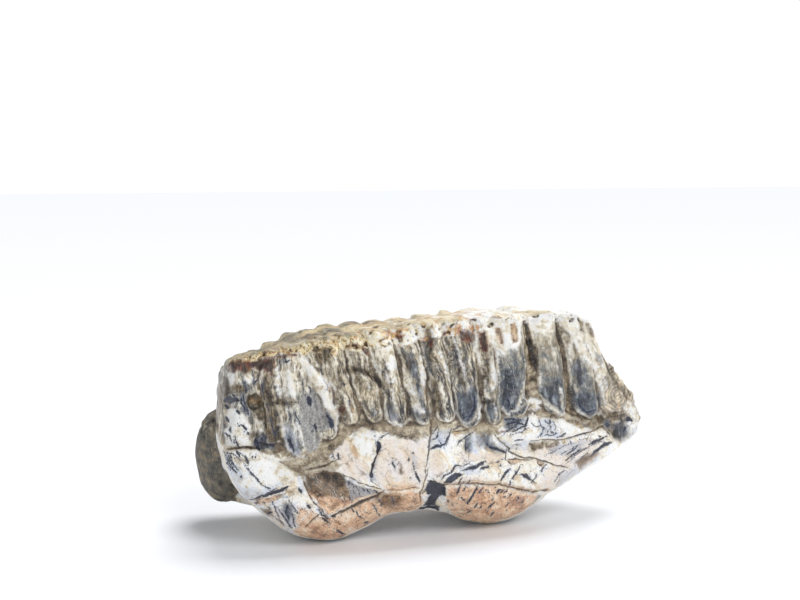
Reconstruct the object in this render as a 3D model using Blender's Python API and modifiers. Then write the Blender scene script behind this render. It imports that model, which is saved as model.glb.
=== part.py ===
"""A fossil stegodon molar, polished all round, standing on the swollen ends of its roots.

The tooth grew as one piece, so it is one solid. Its long axis runs along X, with the blunt front end at -X and the
tapered end at +X. The chewing face looks up. The flank at -Y is the one with the tall side walls and the two root
swellings. The origin is on the resting plane, under the middle of the tooth. Tables are in millimetres.
"""

import math
from bisect import bisect_right

import bmesh
import bpy
import numpy as np
from mathutils import Matrix, Vector, noise

MM = 0.001

# Driving dimensions, in millimetres
BLUNT_END = -80.0
TAPERED_END = 84.6
FLANK_REACH = 23.0      # from the middle plane to either edge of the chewing face
PLATE_PROUD = 2.3       # how far an enamel plate stands out of the cement beside it
PLATE_PROUD_TOP = 1.3   # the same on the chewing face, where it is worn down
ARCH_RISE = 5.0         # how much higher the hollow under the tooth is at its middle than at its rims
FOOT_CUT = 0.5          # depth of the flats worn on the root swellings, where the tooth rests
GRAIN_HEIGHT = 0.35     # low bumps left on the polished surface
GRAIN_SIZE = 9.0
CRUMB_HEIGHT = 1.1      # the unpolished, crumbling chewing face
CRUMB_SIZE = 4.2
CRUMB_BAND = 5.0        # how far the crumbling reaches down the flanks
SHEET_EDGE = 1.2        # width of the step at the broken edge of a sheet

# How finely the shapes are drawn
STATION_STEP = 2.0
RING_POINTS = 56
PLATE_POINTS = 32
PLATE_LEVELS = 14
VOXEL = 0.95
TRIANGLES = 9600

# Outline of the tooth seen square on to its flank: (x, height) from the blunt end to the tapered one
UNDERSIDE = (
    (-80, 38), (-79.2, 31), (-77, 25), (-74.2, 20), (-69.8, 15), (-64.6, 10), (-59.4, 5.6), (-53, 1.8),
    (-46, 0.2), (-38, 0), (-29, 3.6), (-19, 7.8), (-9, 8.4), (-2, 7.6), (5, 4.8), (11.5, 2), (19, 0.3),
    (26, 0.8), (33, 4), (42, 10), (55, 17), (68, 23), (77, 27), (82, 30.6), (84.6, 34.8),
)
NECK = (
    (-80, 39), (-75, 38.5), (-66, 37.5), (-56, 35), (-46, 38), (-38, 42), (-26, 43.5), (-10, 42.5), (6, 40.5),
    (16, 41), (28, 45), (38, 43.5), (52, 40), (66, 39.5), (78, 37), (84.6, 35),
)
CHEWING_EDGE_FRONT = (
    (-80, 40), (-79.8, 48), (-78.8, 58), (-77, 66), (-74.4, 69.2), (-69, 69.8), (-57, 72.2), (-43, 74.4),
    (-33, 75.6), (-18, 77.2), (-7, 78.2), (4, 79.1), (20, 79.8), (36, 80), (49, 80), (54, 78), (57.6, 74),
    (62.6, 65.4), (67, 59.4), (74, 51.6), (80.6, 43.8), (84.6, 35.6),
)
CHEWING_EDGE_BACK = (
    (-80, 40), (-79.4, 44), (-77.4, 49), (-73.6, 54), (-67, 59.8), (-59, 65.2), (-50, 69.2), (-38, 72),
    (-22, 73), (-7, 73.4), (9, 75.2), (25, 76.4), (40, 76), (50, 72.6), (57, 67), (65, 58), (75, 48),
    (84.6, 35.6),
)
# Half widths at the widest height: (x, distance from the middle plane)
FRONT_WIDTH = (
    (-80, 11), (-79.4, 16.5), (-78, 20.5), (-75.4, 23.3), (-70, 25.8), (-55, 28.3), (-40, 29.8), (-25, 30.2),
    (-8, 30), (8, 28.6), (24, 26.6), (38, 24), (50, 21), (60, 17.6), (70, 12.8), (77, 7.8), (82, 3), (84.6, -0.6),
)
BACK_WIDTH = (
    (-80, 6), (-79.4, 9.5), (-78, 13), (-75.4, 17.5), (-70, 22.4), (-60, 26.8), (-40, 28.8), (-25, 28.6),
    (-8, 28.2), (8, 27.6), (24, 26.8), (38, 25.2), (50, 22.8), (60, 19.8), (70, 15.4), (77, 11.4), (82, 7.8), (84.6, 5),
)

# Half of a cross section, from the foot up to the chewing edge: (share of the half width, height), where height
# is 0 at the foot, 1 at the neck and 2 at the chewing edge
FLANK = (
    (0.36, 0.00), (0.68, 0.11), (0.92, 0.34), (1.00, 0.60), (0.97, 0.82), (0.90, 1.00),
    (0.88, 1.20), (0.85, 1.55), (0.79, 1.86), (0.70, 1.98), (0.45, 2.00),
)

# Enamel plates, which run through the tooth from flank to flank like books on a shelf.
# name: x and half thickness at the chewing face, then x, half thickness and height of its rounded toe
PLATES = {
    "end plate": (-73.0, 3.8, -74.2, 4.4, 38.4),
    "second plate": (-65.2, 3.9, -65.6, 4.2, 39.0),
    "long plate": (-57.6, 3.9, -54.9, 5.0, 32.2),
    "long plate, far fold": (-51.0, 2.6, -46.2, 3.3, 40.4),
    "thin plate": (-45.0, 2.5, -38.9, 2.8, 45.2),
    "fourth plate": (-37.4, 3.3, -30.4, 3.4, 45.6),
    "fifth plate": (-28.6, 3.5, -21.6, 3.4, 44.2),
    "sixth plate": (-19.4, 3.6, -12.6, 3.6, 43.8),
    "seventh plate": (-10.2, 3.6, -4.0, 3.2, 44.2),
    "dark plate": (0.4, 4.8, 4.8, 4.3, 41.6),
    "small fold": (9.8, 2.9, 13.6, 2.6, 42.0),
    "wide plate": (20.4, 6.2, 21.6, 4.8, 44.2),
    "tall plate": (34.4, 5.0, 39.8, 4.8, 43.2),
    "last plate": (45.8, 4.6, 55.0, 5.4, 40.8),
    "end fold": (53.4, 2.8, 66.8, 4.0, 42.0),
}
PLATE_BOW = 5.0         # how far a plate's middle bows towards the blunt end
PLATE_SQUARENESS = 5.0  # 2 gives a round bar, more a squarer one

# Swellings of the roots, as ellipsoids: centre and radii
SWELLINGS = {
    "heel behind the blunt end": ((-75.8, 17.0, 26.6), (10.4, 13.5, 18.0)),
    "blunt root, front": ((-42, -10.0, 18.0), (20, 16.5, 18.0)),
    "blunt root, back": ((-42, 12.5, 18.0), (19, 15.5, 18.0)),
    "heel's run into the roots": ((-62.0, 18.0, 22.5), (20, 11.5, 16.5)),
    "tapered root, front": ((21.5, -5.0, 16.2), (21, 18.0, 16.0)),
    "tapered root, back": ((17.0, 10.5, 18.0), (19, 16.0, 18.0)),
}

# Relief on the two flanks, seen square on, as (x, height) points. A sheet is a piece of the outer layer that stands
# out (+) or has come away (-): name: height, outline. A furrow is a crack or fold: name: depth, width, line.
# A pit: name: x, height, radius, depth.
FRONT_SHEETS = {
    "white sheet at the blunt end": (0.9, (
        (-84, 38), (-69, 37.3), (-66.5, 34), (-61, 32.5), (-54.7, 29), (-56, 25.5), (-63, 22.4), (-68, 19), (-72, 14),
        (-84, 20))),
    "facet on the blunt root": (-1.2, (
        (-53.5, 27), (-52, 29), (-43, 30), (-39.8, 28), (-33.5, 24.5), (-25.5, 21), (-35.6, 16.3), (-43.2, 13),
        (-45.3, 13.2))),
    "inner layer of the tapered root": (-0.9, (
        (-5, 22), (5.6, 21), (14.4, 20.4), (25.5, 17), (32, 14.6), (44, 11.5), (40, -4), (-2, -4), (-4, 12))),
    "notch between the roots": (-1.2, (
        (-9.3, 23), (-3.2, 20.7), (-2.3, 17), (-3, 12), (-2, -4), (-13, -4), (-9, 16))),
    "wedge under the fold": (-0.9, (
        (16, 38), (21, 33.5), (26, 29.5), (32, 27.5), (45, 22.7), (53, 24), (66, 33), (64.6, 36.7), (57.3, 35.5),
        (50.4, 34.6), (43.5, 33.6), (37.6, 33.8), (32, 34.4), (24, 36))),
    "arched sheet": (0.8, (
        (20, 42.4), (25.6, 47), (32, 50.5), (38.5, 47.6), (46.8, 43), (55, 39.2), (50, 36.6), (43.5, 35.6), (37, 36),
        (30, 36.8), (21, 39.6))),
}
FRONT_FURROWS = {
    "neck": (0.8, 3.4, NECK),
    "upright crack": (0.6, 1.6, ((-8.1, 45), (-8.4, 38), (-8.9, 31), (-9.7, 24), (-9.8, 16))),
    "crack under the facet": (0.8, 2.0, ((-25.5, 21), (-31.4, 18.1), (-35.6, 16.2), (-43.2, 12.9))),
    "line beside the facet": (0.5, 1.6, ((-54, 26.6), (-50, 20.2), (-45.3, 13.1))),
    "dark fold": (1.0, 2.6, ((-72, 14.5), (-67.7, 20), (-63.2, 22.8), (-59.2, 25), (-54.8, 26.7))),
    "fold of the tapered end": (0.9, 2.2, ((30, 35), (37.6, 33.8), (43.5, 33.6), (50.4, 34.6), (57.3, 35.5), (64.6, 36.7))),
    "branching crack": (0.5, 1.6, ((16, 38.1), (20.9, 33.3), (26.3, 29.3), (32.1, 27.5), (37.1, 25.8), (44.9, 22.7))),
    "wavering crack": (0.5, 1.6, ((-28, 39), (-30, 34), (-29.4, 28.4), (-28.9, 24))),
}
FRONT_PITS = {
    "pit in the second plate": (-69, 54, 2.4, 1.6),
    "pit in the thin plate": (-44.7, 64, 1.8, 1.1),
    "pit by the neck": (-55.5, 31, 2.2, 1.0),
    "broken tip, low": (66, 34, 2.8, 1.1),
    "broken tip, middle": (70.5, 36.5, 2.4, 1.0),
    "broken tip, high": (74.5, 34.5, 2.2, 0.9),
}
BACK_SHEETS = {
    "long sheet": (0.8, ((-58, 36), (-38, 41), (-19, 39), (-16, 29), (-30, 22), (-54, 24))),
    "bare patch on the tapered root": (-0.9, ((-2, 25), (16, 27), (34, 20), (30, 7), (4, 6))),
    "wedge at the tapered end": (-0.8, ((38, 37), (62, 38), (72, 33), (58, 26), (42, 29))),
}
BACK_FURROWS = {
    "neck": (0.8, 3.4, NECK),
    "upright crack": (0.6, 1.6, ((-12, 44), (-14, 32), (-12, 22), (-13, 12))),
    "slanting crack": (0.6, 1.8, ((20, 40), (30, 35), (48, 37), (64, 39))),
    "heel fold": (0.9, 2.4, ((-64, 40), (-62, 30), (-58, 20), (-52, 10))),
}
BACK_PITS = {
    "pit in a plate": (-34, 58, 2.2, 1.3),
    "pit by the neck": (8, 42, 2.6, 1.2),
    "pit in the heel": (-76, 32, 2.6, 1.1),
    "pit low in the heel": (-71, 21, 2.2, 0.9),
}

PARTS = "stegodon_molar"


def along(knots, x):
    """Value at x on a smooth curve through the (x, value) knots that never runs past a knot."""
    places = [knot[0] for knot in knots]
    values = [knot[1] for knot in knots]
    slopes = [(values[i + 1] - values[i]) / (places[i + 1] - places[i]) for i in range(len(knots) - 1)]

    def tangent(i):
        before, after = slopes[max(i - 1, 0)], slopes[min(i, len(slopes) - 1)]
        return 0.0 if before * after <= 0 else 2 * before * after / (before + after)

    i = min(max(bisect_right(places, x) - 1, 0), len(slopes) - 1)
    span = places[i + 1] - places[i]
    t = min(max((x - places[i]) / span, 0.0), 1.0)
    rise = values[i + 1] - values[i]
    start, end = tangent(i) * span, tangent(i + 1) * span
    return values[i] + start * t + (3 * rise - 2 * start - end) * t ** 2 + (start + end - 2 * rise) * t ** 3


def chewing_height(x, y):
    """Height of the chewing face, which is worn lower towards the back flank."""
    share = min(max((y + FLANK_REACH) / (2 * FLANK_REACH), 0.0), 1.0)
    front, back = along(CHEWING_EDGE_FRONT, x), along(CHEWING_EDGE_BACK, x)
    return front + (back - front) * share


def neck_height(x, low, high):
    """Height of the neck, kept between the underside and the chewing face where the tooth narrows to its ends."""
    return min(max(along(NECK, x), low + 0.35 * (high - low)), low + 0.6 * (high - low))


def flank_height(level, low, neck, high):
    """Turns a FLANK height (0 foot, 1 neck, 2 chewing edge) into millimetres."""
    if level <= 1:
        return low + level * (neck - low)
    return neck + (level - 1) * (high - neck)


def wall(x, z, side):
    """Distance of the flank from the middle plane at (x, z). side is -1 for the front flank, 1 for the back one."""
    low = along(UNDERSIDE, x)
    high = chewing_height(x, side * FLANK_REACH)
    neck = neck_height(x, low, high)
    level = (z - low) / max(neck - low, 0.1) if z < neck else 1 + (z - neck) / max(high - neck, 0.1)
    share = along([(step, width) for width, step in FLANK], min(max(level, 0.0), 1.9))
    return share * along(FRONT_WIDTH if side < 0 else BACK_WIDTH, x)


def round_off(corners, count):
    """A closed smooth line through the corners, as count points evenly spaced in corner number."""
    points = []
    for step in range(count):
        place = step / count * len(corners)
        i, t = int(place), place % 1
        a, b, c, d = (Vector(corners[(i + k) % len(corners)]) for k in (-1, 0, 1, 2))
        points.append(0.5 * (2 * b + (c - a) * t + (2 * a - 5 * b + 4 * c - d) * t ** 2
                             + (3 * b - a - 3 * c + d) * t ** 3))
    return points


def cross_section(x):
    """Ring of points round the tooth's core at x: up the front flank, over the chewing face and down the back."""
    low = along(UNDERSIDE, x)
    arch = ARCH_RISE * min(max(low / 8, 0.0), 1.0)
    corners = [(0, low + arch)]
    for side, width_knots in ((-1, FRONT_WIDTH), (1, BACK_WIDTH)):
        width = along(width_knots, x)
        high = chewing_height(x, side * FLANK_REACH)
        neck = neck_height(x, low, high)
        flank = [(side * width * share, flank_height(level, low, neck, high)) for share, level in FLANK]
        if side < 0:
            corners += flank + [(0, chewing_height(x, 0))]
        else:
            corners += reversed(flank)
    return [Vector((x, y, z)) for y, z in round_off(corners, RING_POINTS)]


def skin(mesh, rings):
    """Adds a closed skin over the rings, which all have the same number of points, to the bmesh."""
    rows = [[mesh.verts.new(point * MM) for point in ring] for ring in rings]
    count = len(rows[0])
    for row, following in zip(rows, rows[1:]):
        for i in range(count):
            mesh.faces.new((row[i], row[(i + 1) % count], following[(i + 1) % count], following[i]))
    mesh.faces.new(reversed(rows[0]))
    mesh.faces.new(rows[-1])


def add_core(mesh):
    """The cement and roots that hold the plates: a loft of cross sections along the tooth."""
    stations = []
    x = BLUNT_END
    while x < TAPERED_END:
        stations.append(x)
        near_end = min(x - BLUNT_END, TAPERED_END - x) < 4 * STATION_STEP
        x += STATION_STEP / 4 if near_end else STATION_STEP
    stations.append(TAPERED_END)
    skin(mesh, [cross_section(x) for x in stations])


def squared(value):
    """Pushes a cosine or sine outwards, so that a circle becomes a rounded square."""
    return math.copysign(abs(value) ** (2 / PLATE_SQUARENESS), value)


def add_plate(mesh, x_top, half_top, x_toe, half_toe, toe):
    """One enamel plate: a rounded upright slab from flank to flank, with a toe like the bottom of a U."""
    rings = []
    for level in range(PLATE_LEVELS):
        share = (level / (PLATE_LEVELS - 1)) ** 1.5
        middle_x = x_toe + (x_top - x_toe) * share
        half = half_toe + (half_top - half_toe) * share
        height_above_toe = share * (chewing_height(middle_x, 0) - toe)
        if height_above_toe < half:
            half = math.sqrt(max(half ** 2 - (half - height_above_toe) ** 2, 0.09))
        ring = []
        for step in range(PLATE_POINTS):
            angle = math.tau * step / PLATE_POINTS
            side = -1 if math.sin(angle) < 0 else 1
            top = chewing_height(middle_x, side * FLANK_REACH) + PLATE_PROUD_TOP
            z = toe + share * (top - toe)
            reach = wall(middle_x, z, side) + PLATE_PROUD * min(1.0, height_above_toe / 4 + 0.4)
            y = reach * squared(math.sin(angle))
            z = toe + share * (chewing_height(middle_x, y) + PLATE_PROUD_TOP - toe)
            bow = PLATE_BOW * ((y / FLANK_REACH) ** 2 - 1)
            ring.append(Vector((middle_x + half * squared(math.cos(angle)) + bow * 0.5 + PLATE_BOW * 0.25, y, z)))
        rings.append(ring)
    skin(mesh, rings)


def add_swelling(mesh, centre, radii):
    """One rounded swelling of the roots."""
    ball = bmesh.ops.create_uvsphere(mesh, u_segments=32, v_segments=20, radius=1)["verts"]
    bmesh.ops.scale(mesh, vec=Vector(radii) * MM, verts=ball)
    bmesh.ops.translate(mesh, vec=Vector(centre) * MM, verts=ball)


def fuse(tooth):
    """Grows the overlapping shapes together into one skin, and softens the seams between them."""
    remesh = tooth.modifiers.new("grow_together", "REMESH")
    remesh.mode = "VOXEL"
    remesh.voxel_size = VOXEL * MM
    remesh.use_smooth_shade = True
    soften = tooth.modifiers.new("polish", "SMOOTH")
    soften.factor = 0.5
    soften.iterations = 3
    graph = bpy.context.evaluated_depsgraph_get()
    fused = bpy.data.meshes.new_from_object(tooth.evaluated_get(graph))
    tooth.modifiers.clear()
    tooth.data = fused


def eased(value, start, end):
    """0 below start, 1 above end, and smooth between them."""
    t = np.clip((value - start) / (end - start), 0.0, 1.0)
    return t * t * (3 - 2 * t)


def distance_to_line(x, z, line):
    """Distance of each (x, z) to the nearest stretch of the line."""
    nearest = np.full(len(x), 1e9)
    for (x1, z1), (x2, z2) in zip(line, line[1:]):
        along_x, along_z = x2 - x1, z2 - z1
        t = np.clip(((x - x1) * along_x + (z - z1) * along_z) / (along_x ** 2 + along_z ** 2), 0.0, 1.0)
        nearest = np.minimum(nearest, np.hypot(x - x1 - t * along_x, z - z1 - t * along_z))
    return nearest


def depth_inside(x, z, outline):
    """How far each (x, z) lies inside the outline; negative outside it."""
    inside = np.zeros(len(x), dtype=bool)
    closed = list(outline) + [outline[0]]
    for (x1, z1), (x2, z2) in zip(closed, closed[1:]):
        if z1 == z2:
            continue
        crosses = ((z1 > z) != (z2 > z)) & (x < (x2 - x1) * (z - z1) / (z2 - z1) + x1)
        inside ^= crosses
    distance = distance_to_line(x, z, closed)
    return np.where(inside, distance, -distance)


def relief(x, z, sheets, furrows, pits):
    """Height of the relief at each (x, z) of one flank."""
    height = np.zeros(len(x))
    for rise, outline in sheets.values():
        height += rise * eased(depth_inside(x, z, outline), -SHEET_EDGE / 2, SHEET_EDGE / 2)
    for depth, width, line in furrows.values():
        height -= depth * (1 - eased(distance_to_line(x, z, line), 0.0, width / 2 + 0.5))
    for pit_x, pit_z, radius, depth in pits.values():
        height -= depth * (1 - eased(np.hypot(x - pit_x, z - pit_z), 0.25 * radius, 1.2 * radius))
    return height


def carve(mesh):
    """Cuts the relief into the two flanks, crumbles the chewing face and leaves low bumps everywhere."""
    count = len(mesh.vertices)
    places, normals = np.empty(count * 3), np.empty(count * 3)
    mesh.vertices.foreach_get("co", places)
    mesh.vertices.foreach_get("normal", normals)
    places, normals = places.reshape(-1, 3) / MM, normals.reshape(-1, 3)
    x, y, z = places.T
    front = relief(x, z, FRONT_SHEETS, FRONT_FURROWS, FRONT_PITS)
    back = relief(x, z, BACK_SHEETS, BACK_FURROWS, BACK_PITS)
    height = front * eased(-normals[:, 1], 0.1, 0.4) * (y < 0) + back * eased(normals[:, 1], 0.1, 0.4) * (y > 0)
    top = np.array([chewing_height(*place) for place in places[:, :2]])
    crumbling = eased(z, top - CRUMB_BAND, top - 0.4 * CRUMB_BAND)
    grain = np.array([noise.noise(Vector(place / GRAIN_SIZE)) for place in places])
    crumbs = np.array([noise.noise(Vector(place / CRUMB_SIZE)) for place in places])
    height += GRAIN_HEIGHT * grain + CRUMB_HEIGHT * crumbs * crumbling
    places += normals * height[:, None]
    mesh.vertices.foreach_set("co", (places * MM).ravel())
    mesh.update()


def cut_feet(mesh):
    """Cuts the roots flat on the resting plane."""
    shape = bmesh.new()
    shape.from_mesh(mesh)
    everything = shape.verts[:] + shape.edges[:] + shape.faces[:]
    bmesh.ops.translate(shape, vec=(0, 0, -FOOT_CUT * MM), verts=shape.verts)
    cut = bmesh.ops.bisect_plane(shape, geom=everything, plane_co=(0, 0, 0), plane_no=(0, 0, -1), clear_outer=True)
    rim = [part for part in cut["geom_cut"] if isinstance(part, bmesh.types.BMEdge)]
    bmesh.ops.holes_fill(shape, edges=rim, sides=0)
    bmesh.ops.triangulate(shape, faces=[face for face in shape.faces if len(face.verts) > 4])
    bmesh.ops.recalc_face_normals(shape, faces=shape.faces)
    shape.to_mesh(mesh)
    shape.free()


def centre_on_origin(mesh):
    """Moves the tooth sideways so that the origin is under the middle of it."""
    xs = [vertex.co.x for vertex in mesh.vertices]
    ys = [vertex.co.y for vertex in mesh.vertices]
    mesh.transform(Matrix.Translation((-(min(xs) + max(xs)) / 2, -(min(ys) + max(ys)) / 2, 0)))


def thin_out(tooth):
    """Merges the small faces where the surface is plain, down to the wanted number of triangles."""
    thin = tooth.modifiers.new("fewer_faces", "DECIMATE")
    faces = sum(len(face.vertices) - 2 for face in tooth.data.polygons)
    thin.ratio = TRIANGLES / faces
    graph = bpy.context.evaluated_depsgraph_get()
    thinned = bpy.data.meshes.new_from_object(tooth.evaluated_get(graph))
    tooth.modifiers.clear()
    tooth.data = thinned


def fossil_material():
    material = bpy.data.materials.new("fossil_enamel_and_root")
    material.use_nodes = True
    shader = material.node_tree.nodes["Principled BSDF"]
    shader.inputs["Base Color"].default_value = (0.55, 0.50, 0.42, 1)
    shader.inputs["Roughness"].default_value = 0.38
    shader.inputs["Metallic"].default_value = 0.0
    return material


def build_tooth(collection):
    shape = bmesh.new()
    add_core(shape)
    for plate in PLATES.values():
        add_plate(shape, *plate)
    for centre, radii in SWELLINGS.values():
        add_swelling(shape, centre, radii)
    bmesh.ops.recalc_face_normals(shape, faces=shape.faces)
    mesh = bpy.data.meshes.new("tooth")
    shape.to_mesh(mesh)
    shape.free()
    tooth = bpy.data.objects.new("tooth", mesh)
    collection.objects.link(tooth)
    fuse(tooth)
    carve(tooth.data)
    thin_out(tooth)
    cut_feet(tooth.data)
    centre_on_origin(tooth.data)
    tooth.data.materials.append(fossil_material())
    tooth.data.shade_smooth()
    tooth.data.set_sharp_from_angle(angle=math.radians(40))
    return tooth


def main():
    for old in list(bpy.data.objects):
        bpy.data.objects.remove(old)
    collection = bpy.data.collections.new(PARTS)
    bpy.context.scene.collection.children.link(collection)
    build_tooth(collection)


main()
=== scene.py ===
# %% [markdown]
# A fossil stegodon molar, polished all round and standing on the two swollen ends of its roots. Upright
# plates of enamel run through its crown like books on a shelf, with crumbly cement between them, and the
# roots below are white and peach, with blue-black mineral marks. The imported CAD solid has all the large
# shapes. This lesson grows a finer copy of it, sculpts the small relief into that copy, and then paints it
# with one procedural material.

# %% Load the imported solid
import math

import bmesh
import bpy
import numpy as np
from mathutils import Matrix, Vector, noise


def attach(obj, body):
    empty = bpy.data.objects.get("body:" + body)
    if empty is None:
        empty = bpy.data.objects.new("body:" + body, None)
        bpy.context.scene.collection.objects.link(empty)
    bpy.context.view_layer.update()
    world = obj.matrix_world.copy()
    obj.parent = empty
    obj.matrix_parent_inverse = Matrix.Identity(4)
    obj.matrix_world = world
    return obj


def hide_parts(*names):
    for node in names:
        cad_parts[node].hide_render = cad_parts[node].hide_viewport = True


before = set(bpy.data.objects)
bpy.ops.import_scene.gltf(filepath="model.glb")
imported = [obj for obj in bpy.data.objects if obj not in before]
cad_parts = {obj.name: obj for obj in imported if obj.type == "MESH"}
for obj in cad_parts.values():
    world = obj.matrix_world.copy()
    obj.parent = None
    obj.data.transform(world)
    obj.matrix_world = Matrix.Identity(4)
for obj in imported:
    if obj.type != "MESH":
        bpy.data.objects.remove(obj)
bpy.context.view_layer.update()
MM = 0.001

# %% [markdown]
# The photograph was taken from just above the flank with the tall side walls, a little to the left, with a
# fairly long lens. A camera at that place lets every mark be compared with the photograph. Its numbers are
# kept by name, because the marks on this flank are later laid on the stone through the same camera, as a
# slide projector would.

# %% Camera
PHOTO_WIDTH = 800
PHOTO_HEIGHT = 600
LENS = 58.0
SENSOR = 36.0
CAMERA_PLACE = Vector((-126.75, -452.3, 142.5))
CAMERA_AIM = Vector((-9.05, 11.5, 82.4))
camera_turn = (CAMERA_AIM - CAMERA_PLACE).to_track_quat("-Z", "Y")
camera_data = bpy.data.cameras.new("camera")
camera_data.lens = LENS
camera_data.sensor_width = SENSOR
camera = bpy.data.objects.new("camera", camera_data)
camera.location = CAMERA_PLACE * MM
camera.rotation_euler = camera_turn.to_euler()
bpy.context.scene.collection.objects.link(camera)
bpy.context.scene.camera = camera
print("camera to tooth, mm:", round(CAMERA_PLACE.length))

# %% [markdown]
# The room is a plain white studio. A sun with a very wide disc stands for a large soft lamp above and
# behind the tooth: it brightens the top edge and leaves a soft shadow in front of the roots. A weaker round
# lamp stands in front, and the white world fills in from all sides. The camera sees the world brighter than
# the stone does, so the backdrop stays white and the stone doesn't wash out. A floor that curves up into a
# wall could be built too, but this looks the same from every side.

# %% Floor, world and lamps
FLOOR_SIZE = 6.0
FLOOR_TINT = (0.90, 0.91, 0.94, 1)
FLOOR_ROUGHNESS = 0.9
FILL_TINT = (0.96, 0.98, 1.0, 1)
FILL_LIGHT = 0.46
BACKDROP_LIGHT = 1.05
LIT_POINT = Vector((0, 0, 0.04))    # the middle of the tooth
# name: kind, place in metres, strength, and size: a disc in metres, or a sun's width as an angle
LAMPS = {
    "soft_sun": ("SUN", (0.36, 0.24, 1.2), 2.1, 0.6),
    "front_light": ("AREA", (0.3, -0.75, 0.85), 4.6, 0.5),
}


def build_floor():
    bpy.ops.mesh.primitive_plane_add(size=FLOOR_SIZE)
    floor = bpy.context.object
    floor.name = "studio_floor"
    material = bpy.data.materials.new("pale_floor")
    material.use_nodes = True
    shader = material.node_tree.nodes["Principled BSDF"]
    shader.inputs["Base Color"].default_value = FLOOR_TINT
    shader.inputs["Roughness"].default_value = FLOOR_ROUGHNESS
    floor.data.materials.append(material)
    return floor


def light_world():
    """White all round: one strength for what the camera sees, another for the light on the stone."""
    world = bpy.context.scene.world or bpy.data.worlds.new("white_studio")
    bpy.context.scene.world = world
    world.use_nodes = True
    nodes = world.node_tree.nodes
    links = world.node_tree.links
    fill = nodes["Background"]
    fill.inputs["Color"].default_value = FILL_TINT
    fill.inputs["Strength"].default_value = FILL_LIGHT
    backdrop = nodes.new("ShaderNodeBackground")
    backdrop.inputs["Color"].default_value = (1, 1, 1, 1)
    backdrop.inputs["Strength"].default_value = BACKDROP_LIGHT
    choice = nodes.new("ShaderNodeMixShader")
    links.new(nodes.new("ShaderNodeLightPath").outputs["Is Camera Ray"], choice.inputs[0])
    links.new(fill.outputs[0], choice.inputs[1])
    links.new(backdrop.outputs[0], choice.inputs[2])
    links.new(choice.outputs[0], nodes["World Output"].inputs[0])


def hang_lamp(name, kind, place, strength, size):
    """A lamp that looks at the middle of the tooth."""
    data = bpy.data.lights.new(name, kind)
    data.energy = strength
    if kind == "SUN":
        data.angle = size
    else:
        data.shape = "DISK"
        data.size = size
    lamp = bpy.data.objects.new(name, data)
    lamp.location = place
    lamp.rotation_euler = (LIT_POINT - Vector(place)).to_track_quat("-Z", "Y").to_euler()
    bpy.context.scene.collection.objects.link(lamp)


bpy.ops.object.select_all(action="DESELECT")
floor = build_floor()
light_world()
for name, settings in LAMPS.items():
    hang_lamp(name, *settings)
bpy.context.scene.view_settings.view_transform = "Standard"

# %% [markdown]
# Much of the sculpting and painting needs to know where the enamel plates are. The CAD solid was drawn from
# a table of them, so the same table stands here, in millimetres. From it come, for any point, how deep it
# lies inside a plate, how far up the plate it is, and a straightened x in which every slanting plate stands
# upright.

# %% Plates of the crown
CENTRED_BY = 0.45   # how far the finished CAD solid was moved along X
FOOT_CUT = 0.5      # how far it was lowered
PLATE_PROUD_TOP = 1.3   # how far the plates stand out of the chewing face, mm
PLATE_BOW = 5.0         # how far a plate bows between its middle and the flanks, mm
FLANK_REACH = 23.0      # how far the flanks lie from the middle, mm
UPRIGHT_AT = 60.0   # the height at which straightened x is the real x
# name: x and half thickness at the chewing face, then x, half thickness and height of the rounded toe
PLATES = {
    "end plate": (-73.0, 3.8, -74.2, 4.4, 38.4),
    "second plate": (-65.2, 3.9, -65.6, 4.2, 39.0),
    "long plate": (-57.6, 3.9, -54.9, 5.0, 32.2),
    "long plate, far fold": (-51.0, 2.6, -46.2, 3.3, 40.4),
    "thin plate": (-45.0, 2.5, -38.9, 2.8, 45.2),
    "fourth plate": (-37.4, 3.3, -30.4, 3.4, 45.6),
    "fifth plate": (-28.6, 3.5, -21.6, 3.4, 44.2),
    "sixth plate": (-19.4, 3.6, -12.6, 3.6, 43.8),
    "seventh plate": (-10.2, 3.6, -4.0, 3.2, 44.2),
    "dark plate": (0.4, 4.8, 4.8, 4.3, 41.6),
    "small fold": (9.8, 2.9, 13.6, 2.6, 42.0),
    "wide plate": (20.4, 6.2, 21.6, 4.8, 44.2),
    "tall plate": (34.4, 5.0, 39.8, 4.8, 43.2),
    "last plate": (45.8, 4.6, 55.0, 5.4, 40.8),
    "end fold": (53.4, 2.8, 66.8, 4.0, 42.0),
}
# Outlines along the tooth as (x, height): the neck, and the two edges of the chewing face
NECK = (
    (-80, 39), (-75, 38.5), (-66, 37.5), (-56, 35), (-46, 38), (-38, 42), (-26, 43.5), (-10, 42.5), (6, 40.5),
    (16, 41), (28, 45), (38, 43.5), (52, 40), (66, 39.5), (78, 37), (84.6, 35),
)
EDGE_FRONT = (
    (-80, 40), (-79.8, 48), (-78.8, 58), (-77, 66), (-74.4, 69.2), (-69, 69.8), (-57, 72.2), (-43, 74.4),
    (-33, 75.6), (-18, 77.2), (-7, 78.2), (4, 79.1), (20, 79.8), (36, 80), (49, 80), (54, 78), (57.6, 74),
    (62.6, 65.4), (67, 59.4), (74, 51.6), (80.6, 43.8), (84.6, 35.6),
)
EDGE_BACK = (
    (-80, 40), (-79.4, 44), (-77.4, 49), (-73.6, 54), (-67, 59.8), (-59, 65.2), (-50, 69.2), (-38, 72),
    (-22, 73), (-7, 73.4), (9, 75.2), (25, 76.4), (40, 76), (50, 72.6), (57, 67), (65, 58), (75, 48),
    (84.6, 35.6),
)
HEEL_CENTRE = (-75.8, 17.0, 26.6)       # the lump behind the blunt end, mm
HEEL_RADII = (10.4, 13.5, 18.0)
BLUNT_CORNER = (-72.0, 62.0)    # x and height above which the blunt end crumbles


def along(knots, x):
    """Value at each x on the straight lines through the (x, value) knots."""
    return np.interp(x, [knot[0] for knot in knots], [knot[1] for knot in knots])


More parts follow.
